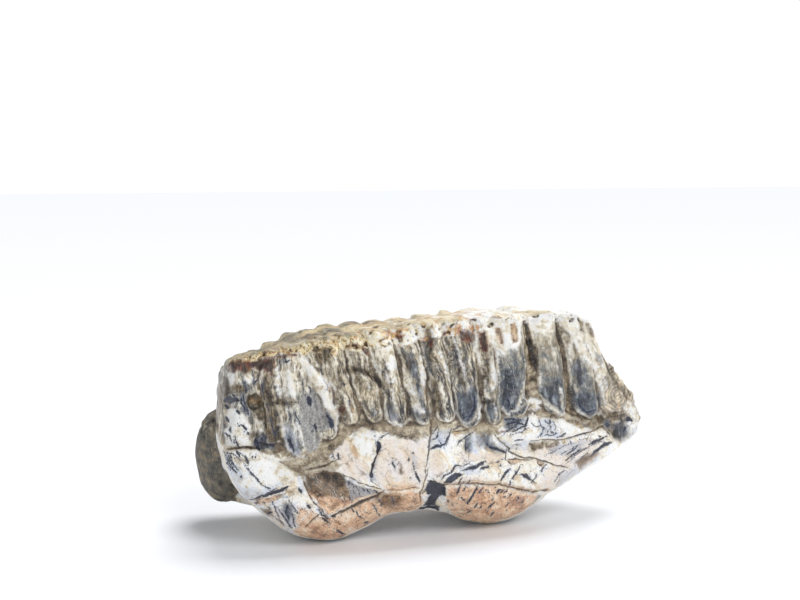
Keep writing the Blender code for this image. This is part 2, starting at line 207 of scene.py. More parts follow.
def eased(value, start, end):
    """0 below start, 1 above end, and smooth between them."""
    t = np.clip((value - start) / (end - start), 0.0, 1.0)
    return t * t * (3 - 2 * t)


print("plates:", len(PLATES), "height of the chewing edge in the middle, mm:", round(along(EDGE_FRONT, 0.0), 1))

# %% [markdown]
# A plate leans and bows, and thins out towards its top. How deep a point lies inside it is measured
# sideways, from the plate's middle at that height, and below the toe's centre round the toe.

# %% Depth inside the plates
def chewing_height(x, y):
    """Height of the chewing face, which is worn lower towards the back flank."""
    share = np.clip((y + FLANK_REACH) / (2 * FLANK_REACH), 0.0, 1.0)
    return along(EDGE_FRONT, x) * (1 - share) + along(EDGE_BACK, x) * share


def plate_middle(plate, x, y, z):
    """Where each point's share of the way up a plate is, and the x of the plate's middle there."""
    x_top, _, x_toe, _, toe = plate
    top = chewing_height(x, y) + PLATE_PROUD_TOP
    share = np.clip((z - toe) / np.maximum(top - toe, 1.0), 0.0, 1.0)
    bow = PLATE_BOW * ((y / FLANK_REACH) ** 2 - 1)
    return share, x_toe + (x_top - x_toe) * share + 0.5 * bow + 0.25 * PLATE_BOW


def measure_plates(x, y, z):
    """Depth inside the nearest plate, that plate's number, the share of the way up it, and straightened x."""
    depth = np.full(len(x), -1e3)
    number = np.zeros(len(x), dtype=int)
    height = np.zeros(len(x))
    straight = np.zeros(len(x))
    before = None
    for i, plate in enumerate(PLATES.values()):
        x_top, half_top, x_toe, half_toe, toe = plate
        share, middle = plate_middle(plate, x, y, z)
        half = half_toe + (half_top - half_toe) * share
        inside = half - np.hypot(x - middle, np.maximum(toe + half - z, 0.0))
        closer = inside > depth
        depth = np.where(closer, inside, depth)
        number = np.where(closer, i, number)
        height = np.where(closer, share, height)
        full_height = along(EDGE_FRONT, x_toe) - toe
        upright = x_toe + (x_top - x_toe) * (UPRIGHT_AT - toe) / full_height
        if before is None:
            straight = upright + x - middle
        else:
            middle_before, upright_before = before
            part = (x - middle_before) / np.maximum(middle - middle_before, 0.5)
            between = upright_before + (upright - upright_before) * np.clip(part, 0.0, 1.0)
            straight = np.where(x > middle_before, between, straight)
            straight = np.where(x > middle, upright + x - middle, straight)
        before = (middle, upright)
    return depth, number, height, straight


_, _, toe_x, toe_half, toe_foot = PLATES["wide plate"]
toe_depth = measure_plates(np.array([toe_x]), np.zeros(1), np.array([toe_foot + toe_half]))[0]
print("depth in the middle of the wide plate's toe, mm:", np.round(toe_depth, 2))

# %% [markdown]
# The CAD solid is faceted and its triangles are loose, so a copy is merged first. Remesh then skins it with
# small even squares, and Smooth melts the facets. Sculpting by hand with brushes would start from the same
# kind of mesh.

# %% A finer copy of the solid
SKIN_STEP = 1.1     # side of the remeshed squares, mm
MERGE_WITHIN = 1e-6
MELT_ROUNDS = 4     # rounds of smoothing that melt the facets


def use_modifier(piece, kind, **settings):
    """Adds one modifier to the piece and applies it at once."""
    modifier = piece.modifiers.new(kind.lower(), kind)
    for name, value in settings.items():
        setattr(modifier, name, value)
    bpy.ops.object.modifier_apply(modifier=modifier.name)


def copy_solid():
    bpy.ops.object.select_all(action="DESELECT")
    tooth = bpy.data.objects.new("stegodon_tooth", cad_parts["tooth"].data.copy())
    bpy.context.scene.collection.objects.link(tooth)
    tooth.select_set(True)
    bpy.context.view_layer.objects.active = tooth
    bpy.ops.object.mode_set(mode="EDIT")
    bpy.ops.mesh.select_all(action="SELECT")
    bpy.ops.mesh.remove_doubles(threshold=MERGE_WITHIN)
    bpy.ops.object.mode_set(mode="OBJECT")
    use_modifier(tooth, "REMESH", mode="VOXEL", voxel_size=SKIN_STEP * MM)
    use_modifier(tooth, "SMOOTH", factor=0.5, iterations=MELT_ROUNDS)
    return tooth


def read_skin(mesh):
    """Places of the mesh's points in mm, and their normals."""
    places = np.empty(len(mesh.vertices) * 3)
    normals = np.empty(len(mesh.vertices) * 3)
    mesh.vertices.foreach_get("co", places)
    mesh.vertices.foreach_get("normal", normals)
    return places.reshape(-1, 3) / MM, normals.reshape(-1, 3)


tooth = copy_solid()
print("faces after remeshing:", len(tooth.data.polygons))

# %% [markdown]
# The flank in the photograph is looked at most closely, so many of its squares are halved once its marks
# are drawn. Areas are picked by the direction they face and by what lies on them, and Subdivide cuts each
# picked square into four.

# %% Tools for halving squares
FACING_FLANK = -0.25


def halve_faces(piece, wanted):
    """Subdivides the faces for which wanted is true."""
    bpy.ops.object.mode_set(mode="EDIT")
    bpy.ops.mesh.select_mode(type="FACE")
    bpy.ops.mesh.select_all(action="DESELECT")
    shape = bmesh.from_edit_mesh(piece.data)
    for face, is_wanted in zip(shape.faces, wanted):
        if is_wanted:
            face.select_set(True)
    bmesh.update_edit_mesh(piece.data)
    bpy.ops.mesh.subdivide(number_cuts=1)
    bpy.ops.object.mode_set(mode="OBJECT")


def face_values(mesh):
    """Middles of the faces in mm, and their normals."""
    middles = np.empty(len(mesh.polygons) * 3)
    normals = np.empty(len(mesh.polygons) * 3)
    mesh.polygons.foreach_get("center", middles)
    mesh.polygons.foreach_get("normal", normals)
    return middles.reshape(-1, 3) / MM, normals.reshape(-1, 3)


middles, turned = face_values(tooth.data)
print("faces that face the camera's side:", int((turned[:, 1] < FACING_FLANK).sum()))

# %% [markdown]
# The marks on the near flank are one of a kind: cracks, blue-black streaks, rusty spots. Noise alone would
# give marks of the right sort in the wrong places, and a picture isn't used, so each is drawn as a short
# line or outline in the photograph's frame, in pixels, with the x and the y of its points by turns. A mark
# becomes a distance: how many millimetres a point lies inside it. The material later turns each distance
# into a soft, ragged edge.

# %% Distances to lines and outlines
REACH = 3.0             # distances are kept within this many mm
THIN_END = 0.35         # how wide the ends of a stroke are, as a share of its middle


def in_pairs(numbers):
    """The points of a drawn line, whose x and y come by turns."""
    return list(zip(numbers[::2], numbers[1::2]))


def distance_to_line(x, z, line):
    """Distance of each (x, z) to the nearest stretch of the line."""
    nearest = np.full(len(x), 1e9)
    for (x1, z1), (x2, z2) in zip(line, line[1:]):
        run = x2 - x1
        rise = z2 - z1
        t = np.clip(((x - x1) * run + (z - z1) * rise) / (run ** 2 + rise ** 2), 0.0, 1.0)
        nearest = np.minimum(nearest, np.hypot(x - x1 - t * run, z - z1 - t * rise))
    return nearest


def depth_inside(x, z, outline):
    """How far each (x, z) lies inside the outline; negative outside it."""
    inside = np.zeros(len(x), dtype=bool)
    corners = in_pairs(outline)
    closed = corners + corners[:1]
    for (x1, z1), (x2, z2) in zip(closed, closed[1:]):
        if z1 == z2:
            continue
        inside ^= ((z1 > z) != (z2 > z)) & (x < (x2 - x1) * (z - z1) / (z2 - z1) + x1)
    distance = distance_to_line(x, z, closed)
    return np.where(inside, distance, -distance)


def depth_in_stroke(x, z, half_width, numbers):
    """How far each (x, z) lies inside a stroke that thins out towards both its ends."""
    line = in_pairs(numbers)
    lengths = [math.dist(start, end) for start, end in zip(line, line[1:])]
    depth = np.full(len(x), -1e9)
    passed = 0.0
    for (x1, z1), (x2, z2), length in zip(line, line[1:], lengths):
        t = np.clip(((x - x1) * (x2 - x1) + (z - z1) * (z2 - z1)) / length ** 2, 0.0, 1.0)
        way = (passed + t * length) / sum(lengths)
        fullness = np.sqrt(np.clip(np.sin(np.pi * way), 0.0, 1.0))
        width = half_width * (THIN_END + (1 - THIN_END) * fullness)
        depth = np.maximum(depth, width - np.hypot(x - x1 - t * (x2 - x1), z - z1 - t * (z2 - z1)))
        passed += length
    return depth


def count_marks(lines, outlines=()):
    """How many strokes and outlines a pair of tables holds."""
    return sum(map(len, lines.values())) + len(outlines)


def depth_in_marks(x, z, scale, lines, outlines):
    """How many mm each point lies inside the nearest mark. scale is how many units of x and z make a mm."""
    depth = np.full(len(x), -REACH)
    for strokes in lines.values():
        for half_width, *line in strokes:
            depth = np.maximum(depth, depth_in_stroke(x, z, half_width, line) / scale)
    for outline in outlines.values():
        depth = np.maximum(depth, depth_inside(x, z, outline) / scale)
    return np.minimum(depth, REACH)


square = (0, 0, 2, 0, 2, 2, 0, 2)
print("depth in the middle of a square of 2 mm:", depth_inside(np.ones(1), np.ones(1), square))

# %% [markdown]
# The same sums that a lens does turn a place on the tooth into a place in the photograph's frame. A mark
# may only lie where the camera sees the flank, so it fades out where the stone turns away.

# %% From the tooth to the photograph's frame
FLANK_END = (2.0, 6.0)          # y in mm between which the near flank's marks fade out
FACING_UP = (0.72, 0.88)        # how far upwards a face looks where marks fade out
SEEN_FROM = 0.06                # how squarely a face has to look at the camera to show a mark faintly
SEEN_FULLY = 0.28               # and to show it fully


def lay_in_photo(places):
    """Where each place falls in the photograph's frame, and how many pixels a mm is there."""
    seen = (places - np.array(CAMERA_PLACE)) @ np.array(camera_turn.to_matrix())
    scale = LENS * PHOTO_WIDTH / SENSOR / -seen[:, 2]
    return PHOTO_WIDTH / 2 + scale * seen[:, 0], PHOTO_HEIGHT / 2 - scale * seen[:, 1], scale


def seen_in_photo(places, normals):
    """1 where the near flank looks at the camera, 0 where it turns away and on the chewing face."""
    to_camera = np.array(CAMERA_PLACE) - places
    to_camera /= np.linalg.norm(to_camera, axis=1)[:, None]
    squarely = np.sum(normals * to_camera, axis=1)
    near = 1 - eased(places[:, 1], *FLANK_END)
    return eased(squarely, SEEN_FROM, SEEN_FULLY) * near * (1 - eased(normals[:, 2], *FACING_UP))


photo_x, photo_y, photo_scale = lay_in_photo(middles)
print("pixels per mm on the near flank:", round(float(photo_scale[turned[:, 1] < FACING_FLANK].mean()), 2))

# %% [markdown]
# Thin dark lines come first. The upright crack splits the root down its middle, the ledge line is where the
# outer root layer has broken away over the right swelling, and a branching crack runs out towards the
# tapered end. A name may stand for several strokes. Each stroke is half its width, and then its points.

# %% Cracks, drawn in pixels
CRACKS = {
    "upright crack": [(0.8, 427, 380, 427, 395, 430, 411, 431, 426, 430.3, 438, 429.5, 451, 427.9, 463,
        426.8, 468, 426.4, 478, 423.7, 484, 420.7, 493, 420.5, 503)],
    "twin of the upright crack": [(0.5, 429.4, 463, 428.6, 470, 428.3, 478)],
    "faint level crack": [(0.5, 384, 491, 400, 490.4, 404.6, 489.7, 408, 489.3, 415, 488, 419, 489.7)],
    "ledge line": [(0.9, 433, 479, 436.7, 483.6, 443.6, 484.7, 452, 484.7, 461, 485, 469, 484.3, 477, 484.3,
        490, 484.7, 498, 484.7, 506, 486.2, 520, 490.4, 533, 493, 554, 490)],
    "branching crack": [(0.9, 495.6, 434.6, 499.5, 439.2, 503.3, 443, 507.9, 446, 509.6, 448, 509.1, 450.4,
        513, 453.5, 519.8, 456.5, 526, 458, 535, 458.4, 542.7, 459.6, 549, 462.6, 556.5, 465, 568, 468)],
    "branch down": [(0.7, 507, 448, 506.4, 452.2, 505.6, 458.3, 510.6, 462.6)],
    "branch along": [(0.8, 506, 459, 519, 459.5, 530, 460.5, 535, 458.8)],
    "pocket rim": [(0.7, 537.4, 459.6, 538, 463, 541, 465, 543.5, 463.5)],
    "fold of the tapered end": [(1.1, 532, 441, 542.7, 441, 553.5, 440.4, 563.4, 439.7, 571.8, 437.8,
        580.2, 434.7, 587, 432.8, 595, 429.6, 603, 426)],
    "left ledge": [(0.8, 227, 448, 243, 447.3, 257, 448)],
    "top of the facet": [(0.8, 343, 475, 357, 482, 371, 487, 384, 491)],
    "left of the facet": [(0.8, 303, 480, 308, 491, 315, 503, 327, 516)],
    "below the facet": [(1.3, 385, 491, 378, 495, 368, 500, 359, 504, 351, 508, 340, 513, 333, 516)],
    "orange crack": [(0.8, 321, 514, 313, 521, 305, 529)],
    "crack through the left lobe": [(0.9, 271, 516, 278, 521, 284, 526)],
    "thin line by the neck": [(0.5, 453, 432, 460, 431, 468, 430)],
    "crack in the second plate": [(0.6, 256, 372, 258, 385, 262, 404, 266, 430)],
    "wavering crack": [(0.6, 375, 440, 378, 450, 374, 463, 371, 475, 372, 482, 380, 488)],
    "line above the facet": [(0.6, 306, 470, 318, 467, 330, 463, 341, 458)],
    "right of the peach lobe": [(0.6, 548, 494, 540, 505, 528, 513)],
}
print("cracks:", count_marks(CRACKS))

# %% [markdown]
# Manganese has stained the stone blue-black along its grain. The largest stain lies between the two roots,
# the rest are dashes, drops and webs. The dashes on the peach swelling all slant the same way, along the
# root's fibres.

# %% Blue-black strokes, drawn in pixels
INK_LINES = {
    "streak beside the white corner": [(0.9, 241.4, 397, 243, 405, 245.4, 412)],
    "dark fold, low": [(1.0, 246, 502.4, 252, 499.4, 260, 495.6, 268, 491.6, 276, 488.4)],
    "speckles of the left root": [(0.5, 256, 507, 262, 511, 268, 517), (0.6, 272, 503, 276, 511, 279, 518),
        (0.5, 287, 497, 292, 505, 298, 513), (0.7, 268, 507, 270, 509), (0.6, 262, 503, 265, 504)],
    # the shadow of the fold is no stain: it is the fold's crack line and painted shadow under the fold, drawn
    # in ink
    "shadow of the fold": [(0.6, 566, 438.2, 578, 435.4, 588, 432.4)],
    "dark edge of the dark toe": [(1.2, 474.6, 394, 475, 406, 470.6, 416, 463.4, 417.4)],
    "dark edge of the last toe": [(1.1, 578, 399, 580.4, 407, 587, 412.6, 596, 410)],
    "dark core of the wide toe": [(1.2, 507, 397, 509.4, 403, 508, 409)],
    "pits by the thin plate": [(0.7, 343.4, 384.6, 346, 384), (0.6, 348.2, 402, 350.2, 401)],
    "above the blotch": [(0.8, 301.6, 380, 303.4, 387), (0.6, 308.6, 385, 311, 392)],
    "top of the wavering crack": [(1.0, 377.6, 440, 378.6, 446, 376, 452)],
    "branch of the wavering crack": [(0.6, 378, 441, 383, 436, 388, 434)],
    "fine lines on the wedge": [(0.28, 556, 450, 566, 446, 574, 443), (0.28, 562, 455, 572, 449, 580, 445),
        (0.4, 570, 459, 580, 452, 590, 446), (0.28, 548, 455, 556, 451), (0.28, 578, 461, 588, 453),
        (0.4, 584, 450, 594, 444, 602, 441), (0.28, 590, 457, 600, 449), (0.28, 566, 464, 574, 458)],
    "lumps by the tip": [(0.9, 598, 436, 600, 438), (0.8, 606, 432, 608, 434), (0.8, 603, 442, 606, 443),
        (0.7, 611, 427, 613, 429), (0.7, 595, 441, 597, 443)],
    "fan on the white sheet": [(0.5, 224, 455, 230, 459, 236, 464), (0.6, 226, 461, 232, 466, 237, 472),
        (0.5, 224, 467, 229, 472, 232, 478), (0.6, 237, 452, 243, 456, 249, 461),
        (0.4, 244, 463, 248, 469, 252, 474), (0.5, 230, 452, 236, 456, 241, 461)],
    "blotch in the broken tip": [(1.3, 624, 433, 627, 427)],
    "line along the shade": [(1.0, 486, 444, 492, 448, 500, 450, 506, 452)],
    "squiggle over the ledge": [(0.8, 518.6, 474, 525.7, 474, 530, 479, 533.6, 482)],
    "netting at the left": [(0.5, 504, 434, 509, 429, 514, 427, 518, 422, 523, 417),
        (0.4, 509, 436, 516, 433, 522, 432, 527, 428), (1.12, 505, 420, 512, 419.4, 519, 421),
        (0.96, 507, 424, 514, 423, 526, 426), (0.88, 528.2, 416, 526.7, 421.3, 525, 426, 524.4, 430),
        (0.8, 512, 432, 518, 429.6, 526, 425.6), (0.72, 517, 417.6, 520, 420, 517, 426, 513, 430)],
    "netting in the middle": [(0.4, 530, 423, 535, 427, 541, 426, 546, 430),
        (0.5, 540, 436, 546, 434, 551, 436, 557, 433), (0.4, 552, 421, 555, 426, 553, 431),
        (0.56, 538, 419, 540, 424, 543, 428, 541, 433, 537, 437), (1.2, 548.9, 420, 549, 424.5),
        (0.48, 544, 420, 547, 424, 550, 428, 546, 432), (0.72, 549, 431, 553, 434, 556, 433),
        (0.64, 557, 437, 562, 434.5, 565, 432.4)],
    "web": [(0.4, 432, 434, 435, 430, 438, 425), (0.5, 451, 430, 456, 429, 461, 426),
        (0.8, 438.3, 429, 438.2, 434.6, 436, 438.4, 431.4, 439.7),
        (0.96, 450.5, 430.5, 449, 436, 446.7, 441.5, 444.4, 444.5, 441.3, 443.8, 439, 440),
        (1.44, 444.4, 444.5, 439.8, 446, 435.2, 446, 431, 448.7), (0.8, 441.2, 444, 439.8, 447.8)],
    "squiggle on the ridge": [(0.5, 323.6, 381, 327, 385, 326, 389, 329, 391)],
    "squiggle on the long plate": [(0.7, 295.6, 412, 296.4, 417, 299, 420, 300.4, 425)],
    "block on the end plate": [(2.6, 223, 401, 229, 398.6, 234, 400.4),
        (2.4, 230, 403, 235, 399.4, 239.6, 401), (1.3, 233, 394.6, 235, 398), (1.3, 225, 404, 228.6, 408)],
    "corner cluster": [(1.2, 225.6, 432, 228, 434.4, 231, 435), (0.8, 234, 438, 236, 443)],
    "short streaks on the white sheet": [(0.5, 225, 456, 229, 464, 232, 469),
        (0.7, 226.6, 451.6, 231, 459, 236, 467.6), (0.6, 229.6, 452, 233, 458)],
    "dark lump on the white sheet": [(1.3, 245, 457, 246.6, 460, 248.4, 464)],
    "dark drop on the far fold": [(1.7, 327, 414.6, 329.6, 420, 331.8, 427.6)],
    "core of the lower strip": [(1.8, 287.6, 438, 290.6, 442, 293.4, 449), (0.88, 293, 444, 294.5, 452)],
    "lumps beside the white corner": [(1.6, 255, 440, 257.6, 445, 259.4, 451), (1.2, 261, 438, 263, 441)],
    "flecks right of the facet": [(0.6, 348, 482, 350, 486.6), (0.5, 352, 483.6, 355, 489),
        (0.6, 357, 486.6, 360, 492), (0.5, 362, 487.6, 365, 492.4), (0.6, 366, 489.6, 369, 493.6),
        (0.5, 353.6, 491, 356, 496.4), (0.6, 350, 498, 352, 503), (0.5, 359, 494, 361.4, 498),
        (0.5, 373, 490.4, 377, 493.4)],
    "dark line by the facet": [(0.8, 318, 509, 323, 515, 329, 519)],
    "blot left of the crack": [(1.3, 323, 518, 326, 522, 328, 523.4)],
    "stroke on the left lobe": [(0.7, 356, 511, 359, 516, 363, 519)],
    "specks low on the left lobe": [(1.1, 364.6, 521.6, 367.4, 522.6), (0.72, 363, 523, 368, 521),
        (0.64, 352, 508, 354, 513), (0.56, 379, 499, 382, 507), (0.56, 392, 497, 394, 504)],
    "line on the left lobe": [(0.6, 372, 503, 376, 509, 380, 516, 382, 518.6)],
    "foot of the left lobe": [(1.2, 337, 530, 341, 532.6, 344.6, 534)],
    "along the crack below the facet": [(1.0, 334, 515, 345, 510, 357, 504.5, 368, 499.5, 379, 494)],
    "thick streak under the white sheet": [(1.5, 262, 497, 274, 492.4, 289, 486.6)],
    "hook on the second plate": [(0.88, 243, 394, 246, 404, 248, 416)],
    "dash beside the hook": [(0.64, 261, 380, 262, 392)],
    "dots by the corner": [(1.5, 227.6, 416.6, 228.8, 421.6), (1.5, 230.4, 427, 232, 431.4),
        (1.4, 241, 424.6, 244, 426.6, 246.4, 430), (0.8, 244, 431, 244.4, 432), (0.8, 228, 436, 228.3, 438)],
    "stroke by the corner": [(0.8, 235, 434, 237, 440, 240, 447)],
    "second stroke by the corner": [(0.56, 231, 436, 233, 443)],
    "blots by the corner": [(1.12, 248, 431, 249, 434), (0.64, 238, 424, 239.4, 427),
        (0.64, 225, 424, 226, 428)],
    "streaks by the white sheet": [(0.64, 227, 451, 231, 459), (0.56, 229, 452, 236, 466, 238, 471)],
    "streaks on the plates": [(0.56, 253, 384, 257, 380, 258, 374), (0.56, 240, 372, 243, 382, 247, 390)],
    "streak under the rust": [(0.88, 284, 358, 286, 363, 289, 360)],
    "threads on the long plate": [(0.4, 300, 380, 303, 388, 307, 396), (0.32, 284, 398, 288, 406, 291, 418)],
    "dots on the long plate": [(0.64, 295, 402, 295.6, 404)],
    "blot over the second toe": [(1.92, 255, 438, 256, 444, 260, 451)],
    "blot between toes": [(1.2, 263.5, 437, 267.5, 439)],
    "blot by the long plate": [(1.36, 270, 445, 274, 447.5)],
    "spot on the end plate": [(1.6, 238, 410, 240, 414)],
    "dark streaks between plates": [(0.6, 266, 403, 268.6, 412), (0.6, 271, 419, 273.4, 428, 276, 436)],
    "blot on the ridge": [(2.1, 308.6, 396, 310, 400, 311, 406)],
    "blot at the far toe": [(1.12, 315, 425, 317, 432)],
    "streak down the white corner": [(0.9, 223.6, 451.4, 228, 458, 233.6, 467)],
    "blot on the white sheet": [(1.0, 236.4, 451.4, 240.7, 458.6)],
    "dots on the white sheet": [(0.8, 252, 456.6, 252.4, 458), (0.8, 255, 456.4, 255.3, 458)],
    "long streak on the white sheet": [(1.1, 246.4, 465.7, 253.6, 475.7, 262, 484.3),
        (0.5, 262, 484.3, 270.7, 488)],
    "blot low on the white sheet": [(1.04, 241, 474.5, 242, 477)],
    "dark fold": [(1.2, 244.5, 503.5, 252, 499.5, 263, 496)],
    "dark fold, thick": [(2.08, 264, 495.6, 275, 492, 286, 488.6)],
    "spot under the long plate": [(1.76, 298.5, 489, 302, 494)],
    "blot low on the left root": [(1.44, 307.5, 504, 310.5, 508)],
    "stroke in the cream": [(1.04, 266, 514, 272, 512)],
    "blue strokes": [(1.2, 287, 505, 286, 513, 289, 520), (0.96, 282, 514, 287, 522, 292, 528),
        (0.72, 292, 514, 294, 522, 296, 528), (0.64, 279, 510, 284, 518)],
    "blot under the facet": [(1.76, 332, 515.5, 336, 517)],
    "marks on the triangle": [(0.6, 333, 453, 334.6, 458), (0.9, 338.4, 453, 339, 458.6)],
    "blotch on the wavering crack": [(2.08, 378, 440, 380, 446, 376, 454),
        (1.2, 376, 456, 373, 464, 371, 475), (1.76, 370, 473, 373, 478)],
    "dash on the pale root": [(0.8, 391.4, 461, 393, 465, 395, 468.6)],
    "dots on the pale root": [(1.44, 411.4, 452.3, 412.4, 454), (0.96, 407.7, 457.4, 408.6, 460.5),
        (0.72, 410, 477.2, 410.6, 477.8)],
    "drop": [(1.2, 415.6, 471.6, 417, 476, 419, 482.4)],
    "thread to the drop": [(0.32, 412, 460.6, 413.4, 466, 414.8, 471.3)],
    "stroke under the orange spot": [(0.72, 457.4, 444.2, 458.1, 441.5, 463.5, 439.2, 467.3, 435.4,
        472.7, 432.3)],
    "edge of the shade": [(0.72, 466, 439, 465.6, 446, 466, 453)],
    "line below the shade": [(1.04, 489, 448.3, 495.6, 449.5, 501.8, 450.7, 506, 452.2)],
    "long thin stroke": [(0.64, 440.6, 479, 443.6, 475, 449.7, 472.8, 453.6, 469, 456.6, 465.2, 463.5, 466,
        470.4, 463.7)],
    "thick stroke": [(1.36, 462.7, 470.2, 469, 468.3, 476.5, 466, 482.6, 463.7, 485, 461.6)],
    "block stroke": [(1.68, 480, 468.8, 488, 466.4)],
    "strokes over the ledge": [(0.8, 461, 477.4, 459, 481, 458, 485), (0.64, 463.6, 480, 462, 484.6),
        (0.88, 469, 479, 466.4, 484.6), (1.2, 510, 467.5, 505.6, 471.3, 502.5, 476, 499.5, 480.4),
        (0.88, 520, 466, 516.3, 471.3, 511.7, 476, 511.7, 479), (0.72, 508.7, 480.5, 509.2, 485),
        (0.72, 546.6, 464.4, 543, 467.5, 539, 472), (1.6, 521, 473.2, 524, 475.6, 529, 479),
        (0.64, 536, 472.4, 535, 476.5, 530, 482), (0.56, 564, 470.3, 558, 475, 553, 480)],
    "specks over the ledge": [(0.72, 496.5, 462, 499, 461), (0.72, 500.6, 459, 503, 458.4),
        (0.64, 498, 465.4, 501, 464.4), (0.64, 514, 470, 516, 474)],
    "dash over the fold": [(0.72, 513.7, 440.4, 518, 439.6, 522.8, 439.3)],
    "twin strokes": [(0.72, 578.7, 446.6, 573, 451, 567.2, 455.7),
        (0.72, 581.8, 448.9, 571.8, 455.7, 566, 461), (0.48, 575.6, 446.6, 572.5, 449.2)],
    "spots on the wedge": [(0.96, 571.4, 441.8, 572.6, 442.6), (0.56, 580, 439, 580.6, 440)],
    "strokes by the tip": [(0.96, 600, 440.4, 594.8, 441.2, 589.4, 445),
        (1.04, 605, 436.6, 598.2, 440.4, 592.8, 443.6), (1.6, 593.6, 452, 601.2, 447.3, 611.2, 441.4)],
    "blotch by the tip": [(2.24, 606, 423, 608, 427)],
    "blotch at the tip": [(1.92, 627, 417.6, 631, 421)],
    "dashes on the peach lobe": [(1.36, 477.7, 486.8, 473.8, 493.5, 470.4, 499, 466.6, 504.4),
        (0.8, 483.8, 487, 481, 491, 478, 494.6), (0.8, 460.6, 486.4, 459, 490, 456.6, 495.4),
        (0.72, 465.8, 487, 462.7, 491.6), (0.72, 461.2, 497, 463.5, 501.4), (0.96, 477.3, 503.5, 474.2, 508),
        (0.72, 472, 510, 467.3, 513), (0.96, 494.9, 503.5, 491.5, 506, 488.8, 508.8),
        (0.8, 493.3, 497.3, 491, 500.6), (1.12, 501, 488.8, 499, 490.6, 497.2, 493.8),
        (0.8, 503.8, 488.6, 500, 494), (0.64, 507.4, 488.8, 503, 493.8), (0.72, 505.6, 495.8, 503.3, 498.2),
        (0.56, 512, 493.6, 509.6, 496.4), (0.56, 508.6, 503, 505.6, 506.6), (0.8, 482.4, 506.4, 480, 509.4),
        (0.8, 493, 512.6, 490, 515.6), (0.56, 519, 497, 516, 500.4), (0.56, 487, 489, 486, 491),
        (0.64, 495, 487, 495.4, 488.4), (0.56, 489, 492.4, 489.6, 493.6), (0.8, 447.4, 500, 448.6, 503),
        (0.64, 452.6, 504.6, 453.4, 506.4), (0.56, 524, 500, 522, 503)],
}
print("strokes:", count_marks(INK_LINES))

# %% [markdown]
# Two of the blue-black marks are too broad for a stroke, so they are drawn as outlines.

# %% Blue-black patches, drawn in pixels
INK_PATCHES = {
    "blob left of the block": (443, 483.6, 445, 479.6, 449, 475.4, 455, 472.6, 463, 473.6, 457, 478,
        450, 482),
    "stain between the roots": (430.6, 479.7, 436, 482, 445, 485, 446, 495.8, 439.8, 497.3, 435.2, 503.5,
        439.8, 506.5, 438.3, 517, 414, 515, 419.1, 509, 421.4, 505.8, 426, 501.9, 431.4, 496.6, 428.3, 495,
        425.2, 490.4, 423, 493.5, 426, 484.3),
}
print("patches:", len(INK_PATCHES))

# %% [markdown]
# Iron gives the warm marks. Rust sits in small blocks just under the chewing edge, where it is nearly
# maroon, and honey-coloured glassy stone fills a few pits and a pocket in the branching crack.

# %% Rust and honey, drawn in pixels
RUST_LINES = {
    "brown pit": [(1.5, 338, 409.4, 341.6, 411, 344.6, 409)],
    "thin rust under the edge": [(1.2, 278, 356.5, 288, 356, 298, 355)],
    "comma": [(1.3, 345, 348, 350, 345.4, 357, 345, 363, 349, 368, 355)],
    "edge rust": [(2.0, 470, 319, 473, 320), (2.2, 443, 333, 446, 334.6), (1.6, 430, 342, 431.5, 345.6),
        (1.3, 396, 338, 402, 336), (1.3, 378, 342, 384, 339)],
    "maroon by the arched sheet": [(0.8, 499, 431.6, 505, 431.4, 511, 430)],
    "left lobe orange": [(1.2, 262, 497.5, 255, 503, 250, 507)],
    "right of the ledge": [(1.2, 512, 487.4, 524, 490.4, 536, 492)],
}
RUST_PATCHES = {
    "band under the edge": (228, 361, 246, 360.6, 252, 363, 256, 360, 274, 358, 274, 366, 272, 374, 266, 371,
        258, 371, 252, 367, 246, 373, 240, 371, 230, 371),
    "right of the crack": (460, 331, 470, 329.4, 473, 336, 472, 342, 462, 341),
    "beside the small fold": (478, 334, 485, 332, 489.6, 346, 488, 353, 480, 350),
}
HONEY_LINES = {
    "beside the brown pit": [(0.9, 352, 408, 354, 412)],
    "tint beside the ridge": [(1.1, 329, 387, 331, 393)],
    "pit in the second plate": [(0.8, 253.6, 399, 256, 401.6, 257.4, 400.4)],
    "spot by the neck": [(1.4, 455, 434, 461, 433)],
    "edge honey": [(2.2, 314, 334, 321, 334), (2.0, 378, 322, 389, 320.6),
        (2.4, 483, 315.4, 494, 315.6, 504, 316), (1.6, 336, 336, 344, 333)],
    "warm rims over the ledge": [(1.2, 467, 482.4, 478, 482, 490, 482.4),
        (1.4, 505, 484.4, 518, 488, 532, 491, 546, 490)],
}
HONEY_PATCHES = {
    "recess in the wide plate 1": (494, 329, 499, 327.6, 502, 332, 503, 343, 499.6, 345, 496, 337),
    "recess in the wide plate 2": (511, 324, 515, 323, 518, 330, 518, 341, 513, 343, 511, 334),
    "glass in the branching crack": (507.6, 458.8, 519.6, 459.4, 521, 462, 515.4, 464.6, 509.6, 463),
    "pocket of the branching crack": (536.6, 459, 543, 460.6, 546, 464.6, 541.4, 466.6, 537.6, 463.4),
    "drop on the triangle": (349.4, 442.6, 354, 445.6, 357.4, 453, 358.4, 459.6, 353.4, 456.4, 349.6, 450),
    "band over the ledge, left": (452, 481.4, 470, 479.4, 500, 480.6, 500, 484, 470, 484, 453, 484.4),
    "band over the ledge, right": (500, 481.6, 520, 485.6, 536, 489, 550, 488.6, 548, 491.6, 530, 492,
        506, 486),
    "block between the rusty ones": (246.6, 360.6, 251, 360.4, 251, 371, 247, 371),
    "swirl, low": (616, 403, 620, 401.6, 622, 406, 618, 409),
}
print("rust:", count_marks(RUST_LINES, RUST_PATCHES), "honey:", count_marks(HONEY_LINES, HONEY_PATCHES))

# %% [markdown]
# Chalk-white places are the cleanest enamel and root: the rims of plates, the long ridge down the fifth
# plate, the triangle under it, the arched sheet and the broken sheet at the blunt end.

